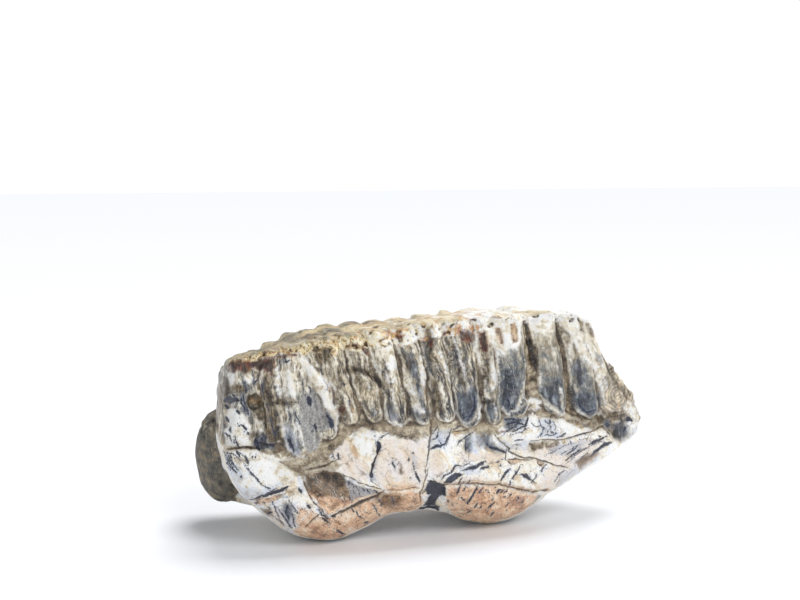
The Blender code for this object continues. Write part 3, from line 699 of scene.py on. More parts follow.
# %% Chalk white, drawn in pixels
CHALK_LINES = {
    "streak on the end plate": [(1.8, 232, 378, 234, 386, 236, 396)],
    "second ridge": [(1.3, 362, 374, 366, 381, 369, 388)],
    "rim of the dark plate": [(1.7, 475, 321, 476, 336, 476.5, 350, 482, 369)],
    "rim of the small fold": [(2.4, 485.6, 319, 489, 333, 494, 346, 499, 354)],
    "pale line on the seventh plate": [(0.9, 426, 360, 424, 374, 421, 388, 421, 400)],
    "rim of the far fold's toe": [(1.2, 321, 434, 320.4, 440, 318, 446, 308, 451)],
    "rim of the wide plate's toe": [(1.3, 525, 380, 523, 390, 520.6, 399, 516.7, 411)],
    "rim of the tall plate": [(1.0, 561, 388, 562, 399, 563.4, 411)],
    "slanting rim of the last plate": [(1.7, 560, 324.5, 571.8, 333.7, 579.5, 347.4, 587, 358, 593, 367,
        599, 377)],
    "rims of the long plate's toe": [(1.3, 281, 415, 284, 434, 289, 448, 298, 456, 306, 457),
        (1.2, 297, 420, 300, 436, 306, 450)],
    "outline of the white sheet": [(1.3, 221, 450, 222, 468, 225, 484, 233, 495, 245, 504)],
    "top of the ledge": [(0.8, 300, 523, 306, 516, 312, 508)],
    "upper edge of the level crack": [(0.7, 436, 477, 444, 479)],
    "left edge of the last plate": [(0.9, 571, 340, 569.4, 352, 571, 362)],
    "streaks on the long plate": [(2.0, 277, 366, 277, 380, 280, 396), (2.2, 288, 360, 289, 376, 293, 396)],
    "pale line by the fourth plate": [(1.0, 336, 372, 342, 388, 347, 404, 352, 418)],
    "rim of the fifth plate": [(1.0, 392, 390, 395, 402, 397.6, 412)],
    "rim of the sixth plate": [(1.0, 407, 384, 411, 398, 416, 412)],
    "cream strip of the sixth plate": [(2.6, 420, 356, 422, 370, 425, 386)],
    "under the bulge": [(1.2, 386, 374, 388, 380, 393, 382, 396, 377)],
    "lines down the dark plate": [(1.2, 441, 352, 445, 366, 449, 382),
        (0.9, 454, 338, 459, 354, 464, 372, 470, 392)],
    "outline of the dark toe": [(1.2, 452, 402, 458, 414, 467, 424, 474, 420, 478, 408, 479, 396)],
    "over the dark toe": [(1.0, 466, 386, 468, 394, 467, 402)],
    "by the small fold": [(2.4, 491, 356, 493, 366, 495, 380, 492, 388)],
    "cream under the small fold": [(2.6, 486, 392, 489, 398)],
    "left of the small fold": [(1.6, 483, 398, 480, 408, 478, 418)],
    "outline of the small fold": [(1.0, 494, 403, 496.6, 412, 494, 424)],
    "left edge of the wide plate": [(1.0, 497, 354, 498, 372, 497, 386)],
    "outline of the wide plate": [(1.0, 503, 408, 508, 414, 515, 411)],
    "left edge of the tall plate": [(0.8, 539, 362, 540, 376, 541, 388)],
    "outline of the tall plate": [(0.9, 543, 402, 552, 408, 561, 413)],
    "streaks of the last plate": [(1.2, 573, 334, 578, 348, 584, 362), (1.4, 578, 332, 586, 350, 594, 368),
        (1.2, 584, 338, 592, 354, 600, 376, 603, 396), (0.8, 596, 350, 603, 370, 606, 388)],
    "right edge of the last plate": [(1.0, 597, 376, 602, 390, 606, 404)],
    "outline of the last plate": [(1.0, 576, 408, 584, 415, 592, 419, 600, 413)],
    "ledge over the neck": [(0.7, 392, 424, 402, 426, 410, 420, 420, 423, 428, 424)],
    "left edge of the corner": [(1.6, 221, 368, 219.6, 390, 219, 414, 219.6, 440)],
    "outline of the bulge": [(0.9, 362, 352, 372, 362, 381, 373)],
}
CHALK_PATCHES = {
    "long ridge": (299, 357, 306, 358, 318, 370, 328, 380, 335, 394, 339, 412, 337, 431, 332.6, 428,
        326.6, 410, 320, 396, 312, 382, 304, 368),
    "white corner": (224, 410, 232, 408, 240, 410, 245, 418, 251, 428, 256, 440, 263, 446, 250, 447.6,
        226, 446, 223, 436, 228, 426),
    "end plate, upper": (229, 374, 234.6, 373, 236.6, 379, 235, 386, 231, 386),
    "second plate, upper": (243, 375, 250, 373.6, 253, 379, 251.6, 384, 246, 383),
    "second plate, streak": (257, 421, 262, 420, 264, 432, 260, 434),
    "bulge": (384, 348, 390, 346, 395, 356, 397, 372, 392, 376, 386, 364),
    "pale strip on the sixth plate": (411, 386, 415, 385, 419, 398, 425, 412, 420, 414, 414, 404),
    "wide plate, top": (484, 318, 494, 319, 508, 321, 521, 322, 521, 338, 518, 350, 508, 349, 503, 356,
        497, 350, 490, 338),
    "tall plate, top": (528, 322, 540, 319, 553, 320, 554, 330, 546, 336, 536, 334),
    "end of the edge": (562, 317, 574, 316, 586, 319, 592, 326, 584, 330, 572, 328),
    "chunk on the arch": (526, 400, 533, 397, 541, 401, 540, 409, 531, 411, 526, 408),
    "corner by the tip": (630, 400, 637, 408, 639, 420, 632, 418, 626, 408),
    "chunk at the edge": (427, 327, 436, 325.6, 446, 326.4, 445, 332, 436, 334.6, 428, 333),
    "triangle": (356, 432, 362, 427, 371, 431, 375, 440, 371, 450, 364, 457, 357, 449, 354, 440),
    "arched sheet": (496, 437, 513, 434, 524, 431, 526, 419, 531, 415, 540, 418, 553, 417, 563, 420, 570, 424,
        578, 428, 586, 430, 574, 436, 560, 438, 545, 439, 530, 440, 512, 444, 503, 441),
    "white sheet": (224, 452, 240, 451, 256, 450, 262, 458, 276, 464, 290, 470, 296, 478, 284, 486, 268, 491,
        252, 497, 240, 498, 229, 488, 224, 470),
    "smooth corner": (631, 424, 638, 424, 637, 434, 630, 442, 626, 440, 630, 432),
}
print("chalk:", count_marks(CHALK_LINES, CHALK_PATCHES))

# %% [markdown]
# The last kinds are broad and soft, and drawn as outlines alone: peach where the outer root has come away,
# umber for the brown glassy stone, crusts of cement, grey slabs, the slate-blue glass of the wide plates'
# toes, a blush and a cool grey on the roots, the pale blue haze that hangs round the inky marks, and shade
# in the gaps.

# %% Broad soft patches, drawn in pixels
PEACH_PATCHES = {
    "facet, lower left": (306, 489, 314, 489, 324, 493, 334, 498, 318, 500, 309, 496),
    "beside the orange crack": (298, 506, 308, 510, 318, 515, 308, 524, 300, 530, 297, 520),
    "right lobe": (449, 486, 462, 486.6, 477, 486, 498, 486.4, 507, 488, 520, 492, 533, 495, 540, 496,
        537, 508, 528, 520, 500, 530, 470, 526, 455, 516, 446, 506, 447, 495),
    "left lobe": (294, 532, 302, 524, 312, 518, 322, 517, 334, 517, 345, 511, 360, 504, 375, 497, 386, 492,
        400, 491.4, 421, 492, 424, 506, 416, 517, 395, 520, 370, 528, 348, 541, 318, 546, 298, 541),
    "under the facet": (314, 497, 330, 498, 346, 499, 354, 497, 366, 495, 380, 493, 370, 498, 352, 506,
        336, 513, 326, 514, 318, 506),
    "below the dark fold": (257, 501, 268, 497.6, 281, 495.6, 281, 499, 270, 503, 258, 506),
    "pale root, low": (384, 484, 400, 482, 415, 484, 418, 490, 400, 492, 388, 492),
}
UMBER_PATCHES = {
    "dark side of the facet": (332, 474, 341, 474, 346, 482, 350, 492, 343, 494, 336, 486),
    "olive spot": (261, 508, 269, 508, 272, 514, 266, 517, 261, 513),
    "dark border of the white sheet": (277, 470, 287, 470, 291, 475, 286, 480, 279, 478),
    "facet": (304, 476, 314, 473, 323, 471, 336, 472, 344, 476, 348, 488, 356, 495, 350, 500, 336, 499,
        318, 498, 309, 492, 303, 484),
    "lower edge, right": (576, 462, 584, 456, 594, 451, 600, 453, 592, 461, 580, 469),
    "streak on the pale root": (398, 462, 402, 466, 403, 474, 399, 473),
}
CEMENT_PATCHES = {
    "arch under the far fold": (324, 438, 336, 434, 346, 438, 338, 447, 332, 456, 334, 466, 318, 466,
        300, 467, 297, 459, 309, 452),
    "above the facet": (296, 470, 303, 460, 318, 458, 336, 460, 341, 470, 330, 471, 312, 473, 302, 478),
    "border of the white sheet": (272, 466, 286, 465, 296, 473, 293, 482, 281, 483, 274, 476),
    "below the long plate": (280, 460, 296, 460, 306, 468, 300, 477, 288, 474),
    "under the fourth plates": (350, 421, 380, 424, 404, 425, 430, 424, 431, 436, 416, 441, 398, 438,
        380, 431, 352, 430),
    "by the small fold": (478, 422, 496, 426, 500, 433, 486, 437, 474, 431),
    # under the arched sheet the crust is partly cement and partly painted shade under the overhanging sheet
    "under the arched sheet": (530, 443, 541, 443, 560, 441, 560, 445, 542, 447, 533, 453, 528, 449),
}
SLAB_PATCHES = {
    "panel of the long plate": (299, 400, 304, 395, 312, 390, 318, 394, 323, 404, 326, 416, 329, 428,
        322, 432, 312, 430, 302, 432, 300, 418),
    "toe of the long plate": (301, 432, 312, 433, 321, 435, 320, 444, 317, 450, 308, 453, 304, 444),
    "right of the facet": (346, 480, 358, 485, 374, 490, 380, 492, 366, 497, 352, 502, 350, 492),
    "right end of the lobe": (538, 494, 550, 492, 553, 496, 540, 508, 528, 518, 530, 508),
    "swirl, upper": (594, 350, 602, 356, 604, 366, 598, 362),
}
BLUSH_PATCHES = {
    "beside the upright crack": (433, 455, 441, 458, 442, 470, 434, 474),
    "white corner": (236, 409, 243, 410, 250, 420, 253, 430, 246, 432, 238, 422),
    "between the cracks": (376, 452, 382, 440, 400, 438, 428, 441, 427, 462, 425, 480, 418, 488, 400, 489,
        386, 489, 374, 480),
    "left of the triangle": (330, 446, 342, 438, 352, 446, 360, 458, 370, 466, 370, 480, 354, 480, 342, 472,
        334, 460),
    "right of the web": (456, 450, 475, 453, 500, 453, 506, 457, 500, 463, 480, 461, 462, 463),
    "left of the web": (431, 452, 438, 452, 446, 466, 440, 480, 431, 476),
    "wedge": (530, 446, 560, 445, 590, 438, 602, 444, 586, 455, 566, 466, 548, 460, 532, 455, 514, 450),
    "right end": (546, 468, 575, 458, 600, 448, 590, 462, 566, 480, 548, 496, 536, 486),
    "cream of the left root": (258, 512, 276, 508, 300, 514, 300, 522, 290, 530, 272, 522),
    "over the ledge": (436, 478, 470, 476, 500, 480, 520, 486, 506, 484, 470, 483, 440, 484),
}
COOL_PATCHES = {
    "low on the white sheet": (224, 462, 230, 474, 240, 488, 250, 498, 240, 502, 230, 494, 222, 478),
    "wedge, upper": (548, 446, 575, 442, 590, 440, 582, 450, 566, 456, 550, 454),
    "right end, low": (560, 474, 590, 460, 606, 450, 596, 462, 572, 482, 556, 492),
    "under the arched sheet": (496, 438, 516, 436, 540, 442, 530, 450, 512, 450, 502, 446),
    "corner": (219, 366, 225, 364, 225, 400, 226, 444, 220, 446, 217, 410),
}
GLASS_PATCHES = {
    "cluster in the netting": (506, 420, 512, 418.4, 520, 418, 523, 423, 516, 428, 509, 431, 505, 427),
    "tip": (614, 424, 622, 420, 629, 425, 629, 435, 622, 441, 614, 437),
    "grey spot by the tip": (603.6, 421, 609, 420.6, 611.4, 425, 606, 429),
    "right side of the shade": (482, 434, 489, 434, 492, 442, 500, 448, 506, 451, 496, 452, 486, 448),
    "left side of the shade": (465, 438, 470, 437, 471.4, 446, 470, 452, 465, 450),
    "upper streak on the sixth plate": (406, 353, 412, 353, 416.6, 366, 418, 379, 413, 378, 408.6, 364),
    "dark side of the last plate": (575, 361, 581, 360, 587, 370, 585, 386, 578, 388, 575, 374),
    "dark patch of the left root": (283, 503, 291, 504, 294, 515, 288, 518, 283, 511),
    "toe of the dark plate": (455, 397, 460, 390, 466, 393, 471, 386, 477, 388, 478, 402, 474, 416, 468, 424,
        460, 418, 455, 407),
    "toe of the small fold": (485, 406, 489, 402, 494, 408, 494.5, 416, 491, 423, 486, 416),
    "toe of the wide plate": (505, 398, 511, 394, 515, 398, 513, 408, 508.6, 412, 504, 406),
    "toe of the tall plate": (540, 389, 548, 384, 556, 387, 560, 396, 561, 410, 553, 405, 545, 400),
    "toe of the last plate": (576, 393, 584, 391, 592, 394, 600, 392, 602, 403, 597, 411, 590, 416, 581, 411,
        575, 404),
    "streak on the sixth plate": (415, 384, 419, 382, 422.4, 394, 424.6, 409, 421, 408, 417, 397),
    "toe of the sixth plate": (412, 410, 417, 411, 422, 421, 416, 420, 412, 414),
    "toe of the fifth plate": (387, 404, 392, 403, 395, 410, 395, 418, 389, 413),
    "toe of the fourth plate": (371, 407, 375, 408, 376, 418, 372, 416),
    "drop on the far fold": (325, 412, 329, 411, 332, 418, 333, 428, 329, 426, 326, 419),
    "core of the long plate's toe": (286, 434, 290, 433, 293, 438, 296, 450, 292, 447, 288, 441),
    "streak on the seventh plate": (424, 354, 428, 353, 431, 362, 433, 373, 429, 372, 426, 363),
    "second plate, low": (255, 434, 262, 437, 270, 444, 274, 449, 262, 450, 256, 444),
    "streak beside the white corner": (241, 393, 245, 396, 248, 408, 249, 417, 245, 414, 242, 404),
}
HAZE_PATCHES = {
    "above the dark fold": (244, 497, 256, 491, 270, 486, 282, 481, 284, 484, 270, 491, 254, 498),
    "left edge of the white sheet": (221, 452, 228, 456, 236, 470, 240, 486, 232, 490, 224, 480),
    "blue-grey shade": (465, 437, 475, 435, 484, 438, 486, 447, 477, 452, 466, 452),
    "lower strip of the long plate": (281, 424, 290, 426, 297, 438, 301, 454, 294, 457, 286, 446),
    "brushed corner of the white sheet": (222, 466, 230, 472, 240, 485, 250, 497, 244, 503, 234, 496,
        224, 484),
    "round the web": (432, 430, 450, 429, 449, 438, 444, 447, 436, 450, 431, 449),
    "right of the shade": (484, 437, 492, 436, 495, 444, 490, 449, 483, 447),
    "on the white sheet 1": (233, 463, 240, 466, 244, 478, 240, 484, 234, 474),
    "on the white sheet 2": (238, 488, 250, 487, 263, 488, 256, 496, 244, 499),
    "by the blue strokes": (283, 506, 293, 506, 297, 524, 290, 528, 284, 518),
    "netting at the left": (504, 418, 524, 417, 527, 424, 522, 431, 506, 430),
    "netting in the middle": (536, 420, 552, 419, 556, 430, 566, 434, 556, 438, 540, 437),
    "by the dots": (410, 454, 415, 456, 417, 470, 412, 466),
    "tail of the strokes": (455, 467, 478, 470, 486, 464, 478, 474, 462, 474),
    "smooth corner": (632, 428, 640, 424, 638, 436, 630, 443, 628, 440),
    "far toe": (390, 414, 398, 413, 397, 421, 391, 421),
    "beside the blotch": (367, 474, 374, 472, 377, 480, 370, 482),
}
SHADE_PATCHES = {
    "facet, upper right": (322, 472, 336, 472, 344, 477, 347, 489, 340, 490, 330, 484, 322, 479),
    "end of the arch": (566, 411, 580, 417, 600, 415, 612, 420, 606, 430, 590, 430, 574, 424),
    "edge of the second plate": (268, 384, 271, 388, 278, 416, 283, 440, 279, 440, 273, 416),
    "core of the valley by the wide plate": (527, 338, 533, 340, 539, 354, 540, 368, 534, 372, 529, 358),
    "brown-grey shade": (476, 434, 484, 434, 486, 444, 480, 447, 476, 442),
    "patch under the edge": (313, 348, 322, 347, 331, 349, 330, 362, 321, 364, 314, 361),
    "speck under the facet": (323, 515, 328, 514, 329, 521, 324, 523),
    "dark ring of the pit": (248, 393, 256, 391.6, 262, 396, 263, 405, 258, 412, 250, 411, 246.6, 402),
    "second plate, middle": (262, 376, 268, 380, 272, 398, 275, 416, 279, 440, 276, 452, 268, 448, 264, 420),
    "second plate, toe": (247, 432, 256, 430, 266, 436, 270, 446, 266, 452, 252, 446),
    "end plate, middle": (226, 386, 236, 384, 246, 386, 246, 394, 236, 395, 226, 395),
    "valley beside the tall plate": (555, 318, 558, 324, 563, 333, 562, 345, 557, 346, 555.6, 332),
    "left of the last plate, low": (566, 388, 573, 386, 576, 402, 577, 412, 569, 412, 566, 400),
    "down the dark plate": (456, 368, 460, 366, 465, 380, 467, 390, 462, 388),
    "under the small fold's ridge": (482, 367, 487, 368, 489, 378, 484, 380),
    "over the small fold": (481, 402, 485, 399, 494, 400, 497, 404, 490, 402, 484, 406),
    "hollow under the bulge": (345, 366, 356, 367, 366, 366, 372, 372, 382, 384, 388, 394, 380, 388, 370, 377,
        356, 374, 346, 373),
    "left of the fourth plate": (337, 398, 343, 400, 348, 412, 350, 420, 343, 418, 338, 410),
    "band on the long plate": (273, 401, 284, 399, 297, 400, 299, 403, 288, 407, 275, 406),
    "below the pit": (247, 404, 254, 408, 264, 406, 270, 420, 268, 434, 262, 424, 252, 414),
    "between the plates, middle 1": (424, 330, 431, 326, 434, 340, 430, 352, 426, 344),
    "between the plates, middle 2": (402, 352, 408, 354, 413, 368, 410, 378, 405, 370),
    "seventh plate": (428, 376, 434, 380, 440, 398, 442, 412, 436, 412, 431, 398),
    "top right 1": (579, 321, 583, 321, 584, 332, 580, 332),
    "top right 2": (588, 325, 593, 328, 595, 337, 590, 336),
    "right edge": (604, 362, 608, 366, 622, 384, 632, 400, 628, 400, 616, 384),
    "under the swirl": (604, 412, 614, 412, 626, 414, 631, 420, 624, 424, 608, 420),
    "lavender streak": (336, 370, 341, 369, 344, 387, 339, 388),
    "tip": (604, 422, 612, 421, 626, 426, 628, 438, 618, 442, 610, 436, 604, 430),
    "right of the small fold": (484, 360, 488, 356, 491, 372, 489, 380),
    "mottle on the left lobe": (374, 494, 390, 493, 404, 496, 400, 506, 384, 508, 376, 502),
}
NEAR_MARKS = {
    "crack": (CRACKS, {}),
    "ink": (INK_LINES, INK_PATCHES),
    "rust": (RUST_LINES, RUST_PATCHES),
    "honey": (HONEY_LINES, HONEY_PATCHES),
    "chalk": (CHALK_LINES, CHALK_PATCHES),
    "peach": ({}, PEACH_PATCHES),
    "umber": ({}, UMBER_PATCHES),
    "cement": ({}, CEMENT_PATCHES),
    "slab": ({}, SLAB_PATCHES),
    "glass": ({}, GLASS_PATCHES),
    "blush": ({}, BLUSH_PATCHES),
    "cool": ({}, COOL_PATCHES),
    "haze": ({}, HAZE_PATCHES),
    "shade": ({}, SHADE_PATCHES),
}
print("kinds of mark:", sorted(NEAR_MARKS))

# %% [markdown]
# The photograph doesn't show the far flank, so its marks are invented in the same manner, this time in
# millimetres on the tooth itself, with x and height by turns. Each kind has its strokes first, and then its
# outlines. The cracks follow the relief that the CAD solid has on that side.

# %% Marks of the far flank, drawn in mm
FAR_MARKS = {
    "crack": ({
        "upright crack": [(0.3, -12, 44, -14, 32, -12, 22, -13, 12)],
        "slanting crack": [(0.3, 20, 40, 30, 35, 48, 37, 64, 39)],
        "heel fold": [(0.45, -64, 40, -62, 30, -58, 20, -52, 10)],
        "rim of the bare patch": [(0.35, -2, 25, 7, 26.4, 16, 27, 25, 24, 34, 20, 31, 12)],
        "rim of the long sheet": [(0.3, -54, 24, -42, 22.6, -30, 22, -22, 25, -16, 29)],
    }, {}),
    "ink": ({
        "dashes": [(0.5, -34, 33, -32, 29, -31, 26), (0.7, -28, 36, -26, 32),
            (0.4, -44, 31, -42, 27, -41, 25), (0.6, 4, 35, 7, 32, 9, 29), (0.5, 12, 36, 14, 33),
            (0.7, 38, 31, 43, 29, 49, 29), (0.4, 52, 34, 58, 35), (0.5, 4, 21, 7, 17),
            (0.5, 10, 22, 12, 18, 13, 15), (0.4, 16, 20, 18, 16), (0.6, 22, 18, 24, 14),
            (0.5, -50, 18, -46, 14, -44, 12), (0.7, -38, 16, -35, 12), (0.4, -8, 30, -6, 26, -5, 22)],
        "toe stains": [(0.9, 5, 45, 5.6, 49, 5, 54), (0.7, 38, 47, 39, 51, 38.4, 56),
            (0.6, -14, 47, -13, 50, -13.4, 54)],
    }, {
        "stain": (-21, 21, -17, 25, -14, 21, -9, 23, -11, 17, -8, 13, -14, 13, -16, 8, -19, 12, -24, 12,
            -20, 16),
    }),
    "rust": ({
        "under the edge": [(1.4, -55, 63, -52, 65), (1.2, -36, 67.5, -33, 68), (1.5, 12, 70.5, 17, 71)],
        "heel": [(1.6, -74, 38, -71, 36)],
    }, {}),
    "honey": ({
        "pocket": [(0.9, 31, 34.6, 34, 35)],
        "drop": [(1.0, -20, 36, -19, 33)],
    }, {
        "heel patch": (-82, 40, -76, 43, -70, 41, -72, 37, -80, 36),
    }),
    "chalk": ({
        "rims": [(0.6, 2, 70, 3, 60, 6, 52), (0.5, 28, 70, 31, 60, 34, 52)],
    }, {
        "long sheet": (-56, 35, -38, 39.6, -20, 38, -17, 29, -30, 23, -52, 25),
        "sheet at the tapered end": (20, 42, 36, 40, 52, 38.6, 48, 37.6, 30, 36, 22, 38),
    }),
    "peach": ({}, {
        "tapered root": (-1, 24, 16, 26, 33, 19, 38, 8, 28, -3, 2, -3, -4, 10),
        "blunt root": (-54, 12, -44, 15, -32, 12, -26, 5, -36, -3, -50, -3),
    }),
    "umber": ({}, {
        "below the sheet": (-50, 22, -38, 20, -30, 20, -34, 15, -46, 14),
        "by the end": (58, 30, 66, 33, 72, 34, 68, 30, 60, 27),
    }),
    "cement": ({}, {
        "under the toes": (-36, 44, -20, 44, -4, 42, -8, 37, -22, 39, -34, 40),
        "by the rim": (8, 27, 20, 30, 30, 26, 24, 23, 12, 25),
    }),
    "slab": ({}, {
        "panel": (-57, 44, -51, 43, -49, 54, -52, 60, -58, 56),
        "above the swelling": (10, 27, 24, 28, 34, 24, 30, 20, 14, 24),
    }),
    "glass": ({}, {
        "toe 1": (2, 46, 6, 44, 9, 50, 7, 57, 3, 53),
        "toe 2": (35, 48, 40, 45, 43, 52, 40, 58, 36, 55),
        "toe 3": (-17, 47, -12, 45, -10, 51, -14, 55),
        "toe 4": (-45, 44, -41, 43, -40, 48, -44, 50),
        "toe 5": (18, 48, 22, 46, 24, 53, 21, 57, 18, 54),
    }),
    "blush": ({}, {
        "by the upright crack": (-34, 38, -15, 40, -15, 26, -28, 27),
        "by the slanting crack": (24, 33, 46, 34, 66, 36, 60, 28, 38, 24),
    }),
    "cool": ({}, {
        "under the neck": (-8, 38, 14, 37, 22, 32, 8, 29, -6, 31),
        "blunt root": (-66, 24, -56, 30, -54, 16, -62, 12),
    }),
    "haze": ({}, {
        "round the stain": (-24, 26, -12, 28, -6, 20, -9, 9, -20, 7, -27, 14),
        "by the strokes": (2, 37, 12, 38, 16, 31, 8, 27, 3, 30),
    }),
    "shade": ({}, {
        "heel, low": (-86, 30, -78, 32, -70, 24, -66, 12, -84, 8),
        "tip": (66, 42, 74, 44, 84, 38, 80, 33, 70, 33),
    }),
}
print("marks on the far flank:", sum(count_marks(*tables) for tables in FAR_MARKS.values()))

# %% [markdown]
# Each mark is now measured at every point of the skin. Drawn lines are too clean for stone, so every point
# looks for its marks a little to the side of where it really is, by an amount that noise gives. The lines
# then wander.

# %% Measure every mark at every point
WOBBLE_WIDE = 0.45      # how far a mark's outline wanders from the drawn one in wide waves, mm
WOBBLE_FINE = 0.22      # and in fine ones
WIDE_WAVE = 4.0         # length of the waves, mm
FINE_WAVE = 1.1
FACING_BACK = (0.1, 0.4)        # how far backwards a face looks where the far flank's marks fade in


def bumps(places, size, shift=0.0):
    """Smooth noise from about -1 to 1 at each place. size is a bump's width in mm, for each axis or all."""
    steps = places / np.array(size)
    return np.array([noise.noise(Vector((a + shift, b + shift, c))) for a, b, c in steps])


def wobble(places):
    """A small sideways shift at each place, so that a drawn line wanders as a natural one does."""
    shift_x = WOBBLE_WIDE * bumps(places, WIDE_WAVE, 31.0) + WOBBLE_FINE * bumps(places, FINE_WAVE, 13.0)
    shift_z = WOBBLE_WIDE * bumps(places, WIDE_WAVE, 57.0) + WOBBLE_FINE * bumps(places, FINE_WAVE, 77.0)
    return np.stack((shift_x, np.zeros(len(places)), shift_z), axis=1)


def measure_marks(places, normals, kinds):
    """The distance attribute of each kind of mark, from both flanks."""
    near = seen_in_photo(places, normals)
    far = eased(normals[:, 1], *FACING_BACK) * (places[:, 1] > 0)
    far[far > 0] *= 1 - eased(normals[far > 0, 2], *FACING_UP)
    near_at = near > 0
    far_at = far > 0
    in_photo = [values[near_at] for values in lay_in_photo(places + wobble(places))]
    far_x = places[far_at, 0] - CENTRED_BY
    far_z = places[far_at, 2] + FOOT_CUT
    depths = {}
    for kind in kinds:
        depth = np.full(len(places), -REACH)
        found = depth_in_marks(*in_photo, *NEAR_MARKS[kind])
        depth[near_at] = -REACH + (found + REACH) * near[near_at]
        found = depth_in_marks(far_x, far_z, 1.0, *FAR_MARKS[kind])
        depth[far_at] = np.maximum(depth[far_at], -REACH + (found + REACH) * far[far_at])
        depths[kind] = depth
    return depths


far_side = (turned[:, 1] > FACING_BACK[0]) & (middles[:, 1] > 0)
print("faces that can show marks on the far flank:", int(far_side.sum()))

# %% [markdown]
# Broken stone also steps up and down where pieces have flaked off, and hollows lie between the plates. Each
# such form is drawn as an outline too, after its height and the width of its slope, both in millimetres.
# Above zero it stands proud, below zero it is sunk.

# %% Raised and sunk forms, drawn in pixels
FORMS = {
    "bulge over the plates": (0.9, 2.0, 362, 334, 375, 330, 388, 332, 396, 345, 398, 360, 394, 378, 390, 384,
        382, 374, 372, 362, 364, 352, 360, 342),
    "hollow under the bulge": (-0.6, 1.6, 342, 362, 348, 353, 358, 351, 366, 360, 376, 370, 386, 382,
        382, 392, 368, 378, 352, 374),
    "hollow beside the ridge": (-0.5, 1.6, 312, 366, 322, 362, 333, 366, 338, 380, 340, 400, 336, 412,
        331, 400, 326, 386, 318, 374),
    "long ridge": (0.8, 1.4, 297, 358, 306, 358, 318, 371, 328, 386, 334, 408, 337, 430, 331, 428, 326, 406,
        318, 391, 307, 377),
    "recess beside the wide plate": (-0.9, 2.0, 524.4, 317, 530, 329, 537, 343, 542, 358, 542, 376, 538, 385,
        529, 385, 527, 356, 525, 334),
    "recess beside the tall plate": (-0.8, 1.4, 555, 317, 563, 325, 573, 336, 570, 345, 560, 347, 556, 334),
    "recess beside the last plate": (-0.6, 1.4, 571, 341, 577, 342, 581, 360, 584, 392, 577, 396, 573, 376,
        571, 358),
    "recess beside the small fold": (-0.8, 1.2, 477, 332, 486, 330, 491, 346, 487, 356, 480, 352),
    "recess in the wide plate 1": (-0.6, 1.2, 493, 327, 499, 326, 503, 332, 505, 345, 500, 347, 496, 336),
    "recess in the wide plate 2": (-0.6, 1.2, 510, 323, 517, 322, 521, 330, 520, 343, 512, 345),
    "recess beside the dark plate": (-0.3, 1.5, 440, 338, 452, 336, 459, 352, 463, 372, 455, 376, 447, 360),
    "brown plate": (-0.35, 1.4, 398, 384, 406, 383, 409, 398, 413, 413, 407, 421, 400, 415, 398, 400),
    "pale strip on the sixth plate": (0.5, 1.2, 411, 380, 418, 382, 427, 414, 422, 421, 415, 402),
    "arch of cement": (0.9, 1.2, 514, 420, 520, 402, 527, 393, 537, 390, 548, 398, 558, 408, 572, 414,
        590, 420, 586, 427, 566, 420, 552, 414, 540, 405, 531, 404, 526, 414, 519, 424),
    "arched sheet": (0.5, 0.8, 496, 437, 513, 434, 524, 431, 526, 419, 531, 414, 540, 417, 553, 417, 563, 420,
        578, 428, 600, 428, 588, 433, 571, 438, 553, 440.6, 530, 441, 512, 445, 503, 442),
    "under the fold": (-0.8, 1.0, 528, 442, 553, 441.6, 572, 439, 566, 445, 548, 449, 532, 452),
    "wedge of the tapered end": (-0.4, 1.2, 532, 450, 566, 442, 598, 432, 600, 440, 572, 456, 562, 465,
        546, 460, 534, 457),
    "glassy facet": (-0.7, 2.2, 305, 477, 314, 473, 323, 471, 336, 472, 344, 476, 357, 482, 371, 488,
        384, 491, 366, 499, 348, 507, 334, 514, 326, 513, 314, 500, 307, 490),
    "top of the facet": (0.5, 0.8, 300, 466, 314, 460, 330, 462, 343, 471, 357, 478, 372, 485, 384, 489,
        371, 487, 343, 475, 323, 470, 306, 474),
    "white sheet": (0.5, 0.7, 221, 450, 240, 449, 258, 449, 264, 458, 282, 463, 300, 474, 296, 483, 282, 489,
        262, 495, 246, 502, 234, 494, 224, 480),
    "under the sheet's fold": (-0.6, 1.0, 248, 505, 262, 499, 282, 492, 300, 484, 306, 492, 290, 500,
        262, 508),
    "triangle": (0.5, 0.8, 356, 432, 363, 426, 371, 431, 376, 440, 377, 452, 373, 466, 372, 480, 362, 470,
        352, 458, 346, 448, 352, 440),
    "panel beside the wavering crack": (0.35, 0.7, 380, 439, 400, 437, 428, 441, 426, 462, 424, 482, 404, 487,
        384, 488, 375, 480, 374, 464, 380, 450),
    "broken edge over the ledge": (0.7, 0.8, 434, 479, 450, 470, 480, 464, 510, 464, 540, 468, 560, 474,
        554, 488.6, 533, 491.6, 520, 489, 506, 484.6, 480, 483, 450, 483.4),
    "pit between the roots": (-0.8, 1.0, 432, 482, 446, 487, 446, 496, 436, 505, 437, 514, 424, 513,
        428, 497),
    "broken tip": (-0.8, 1.2, 612, 423, 624, 421, 630, 427, 628, 437, 620, 442, 612, 436),
    "chunk by the tip": (0.6, 1.0, 588, 430, 600, 428, 612, 433, 614, 441, 602, 444, 592, 438),
    "pit of the second plate": (-0.9, 1.2, 249, 396, 256, 392, 262, 398, 261, 409, 253, 412, 248, 405),
    "white corner": (0.4, 0.8, 222, 408, 240, 407, 248, 420, 258, 440, 262, 447, 240, 447, 223, 447),
    "valley beside the long plate": (-0.5, 1.4, 263, 372, 268, 374, 276, 400, 284, 440, 280, 450, 272, 430),
    "grey panel of the long plate": (-0.4, 1.0, 300, 398, 312, 386, 322, 398, 328, 424, 318, 434, 304, 428),
    "swirl": (0.5, 2.0, 602, 366, 612, 372, 626, 390, 628, 404, 612, 412, 602, 400),
}
FORM_FOOT = 0.3     # how far outside its outline a form starts to rise, mm


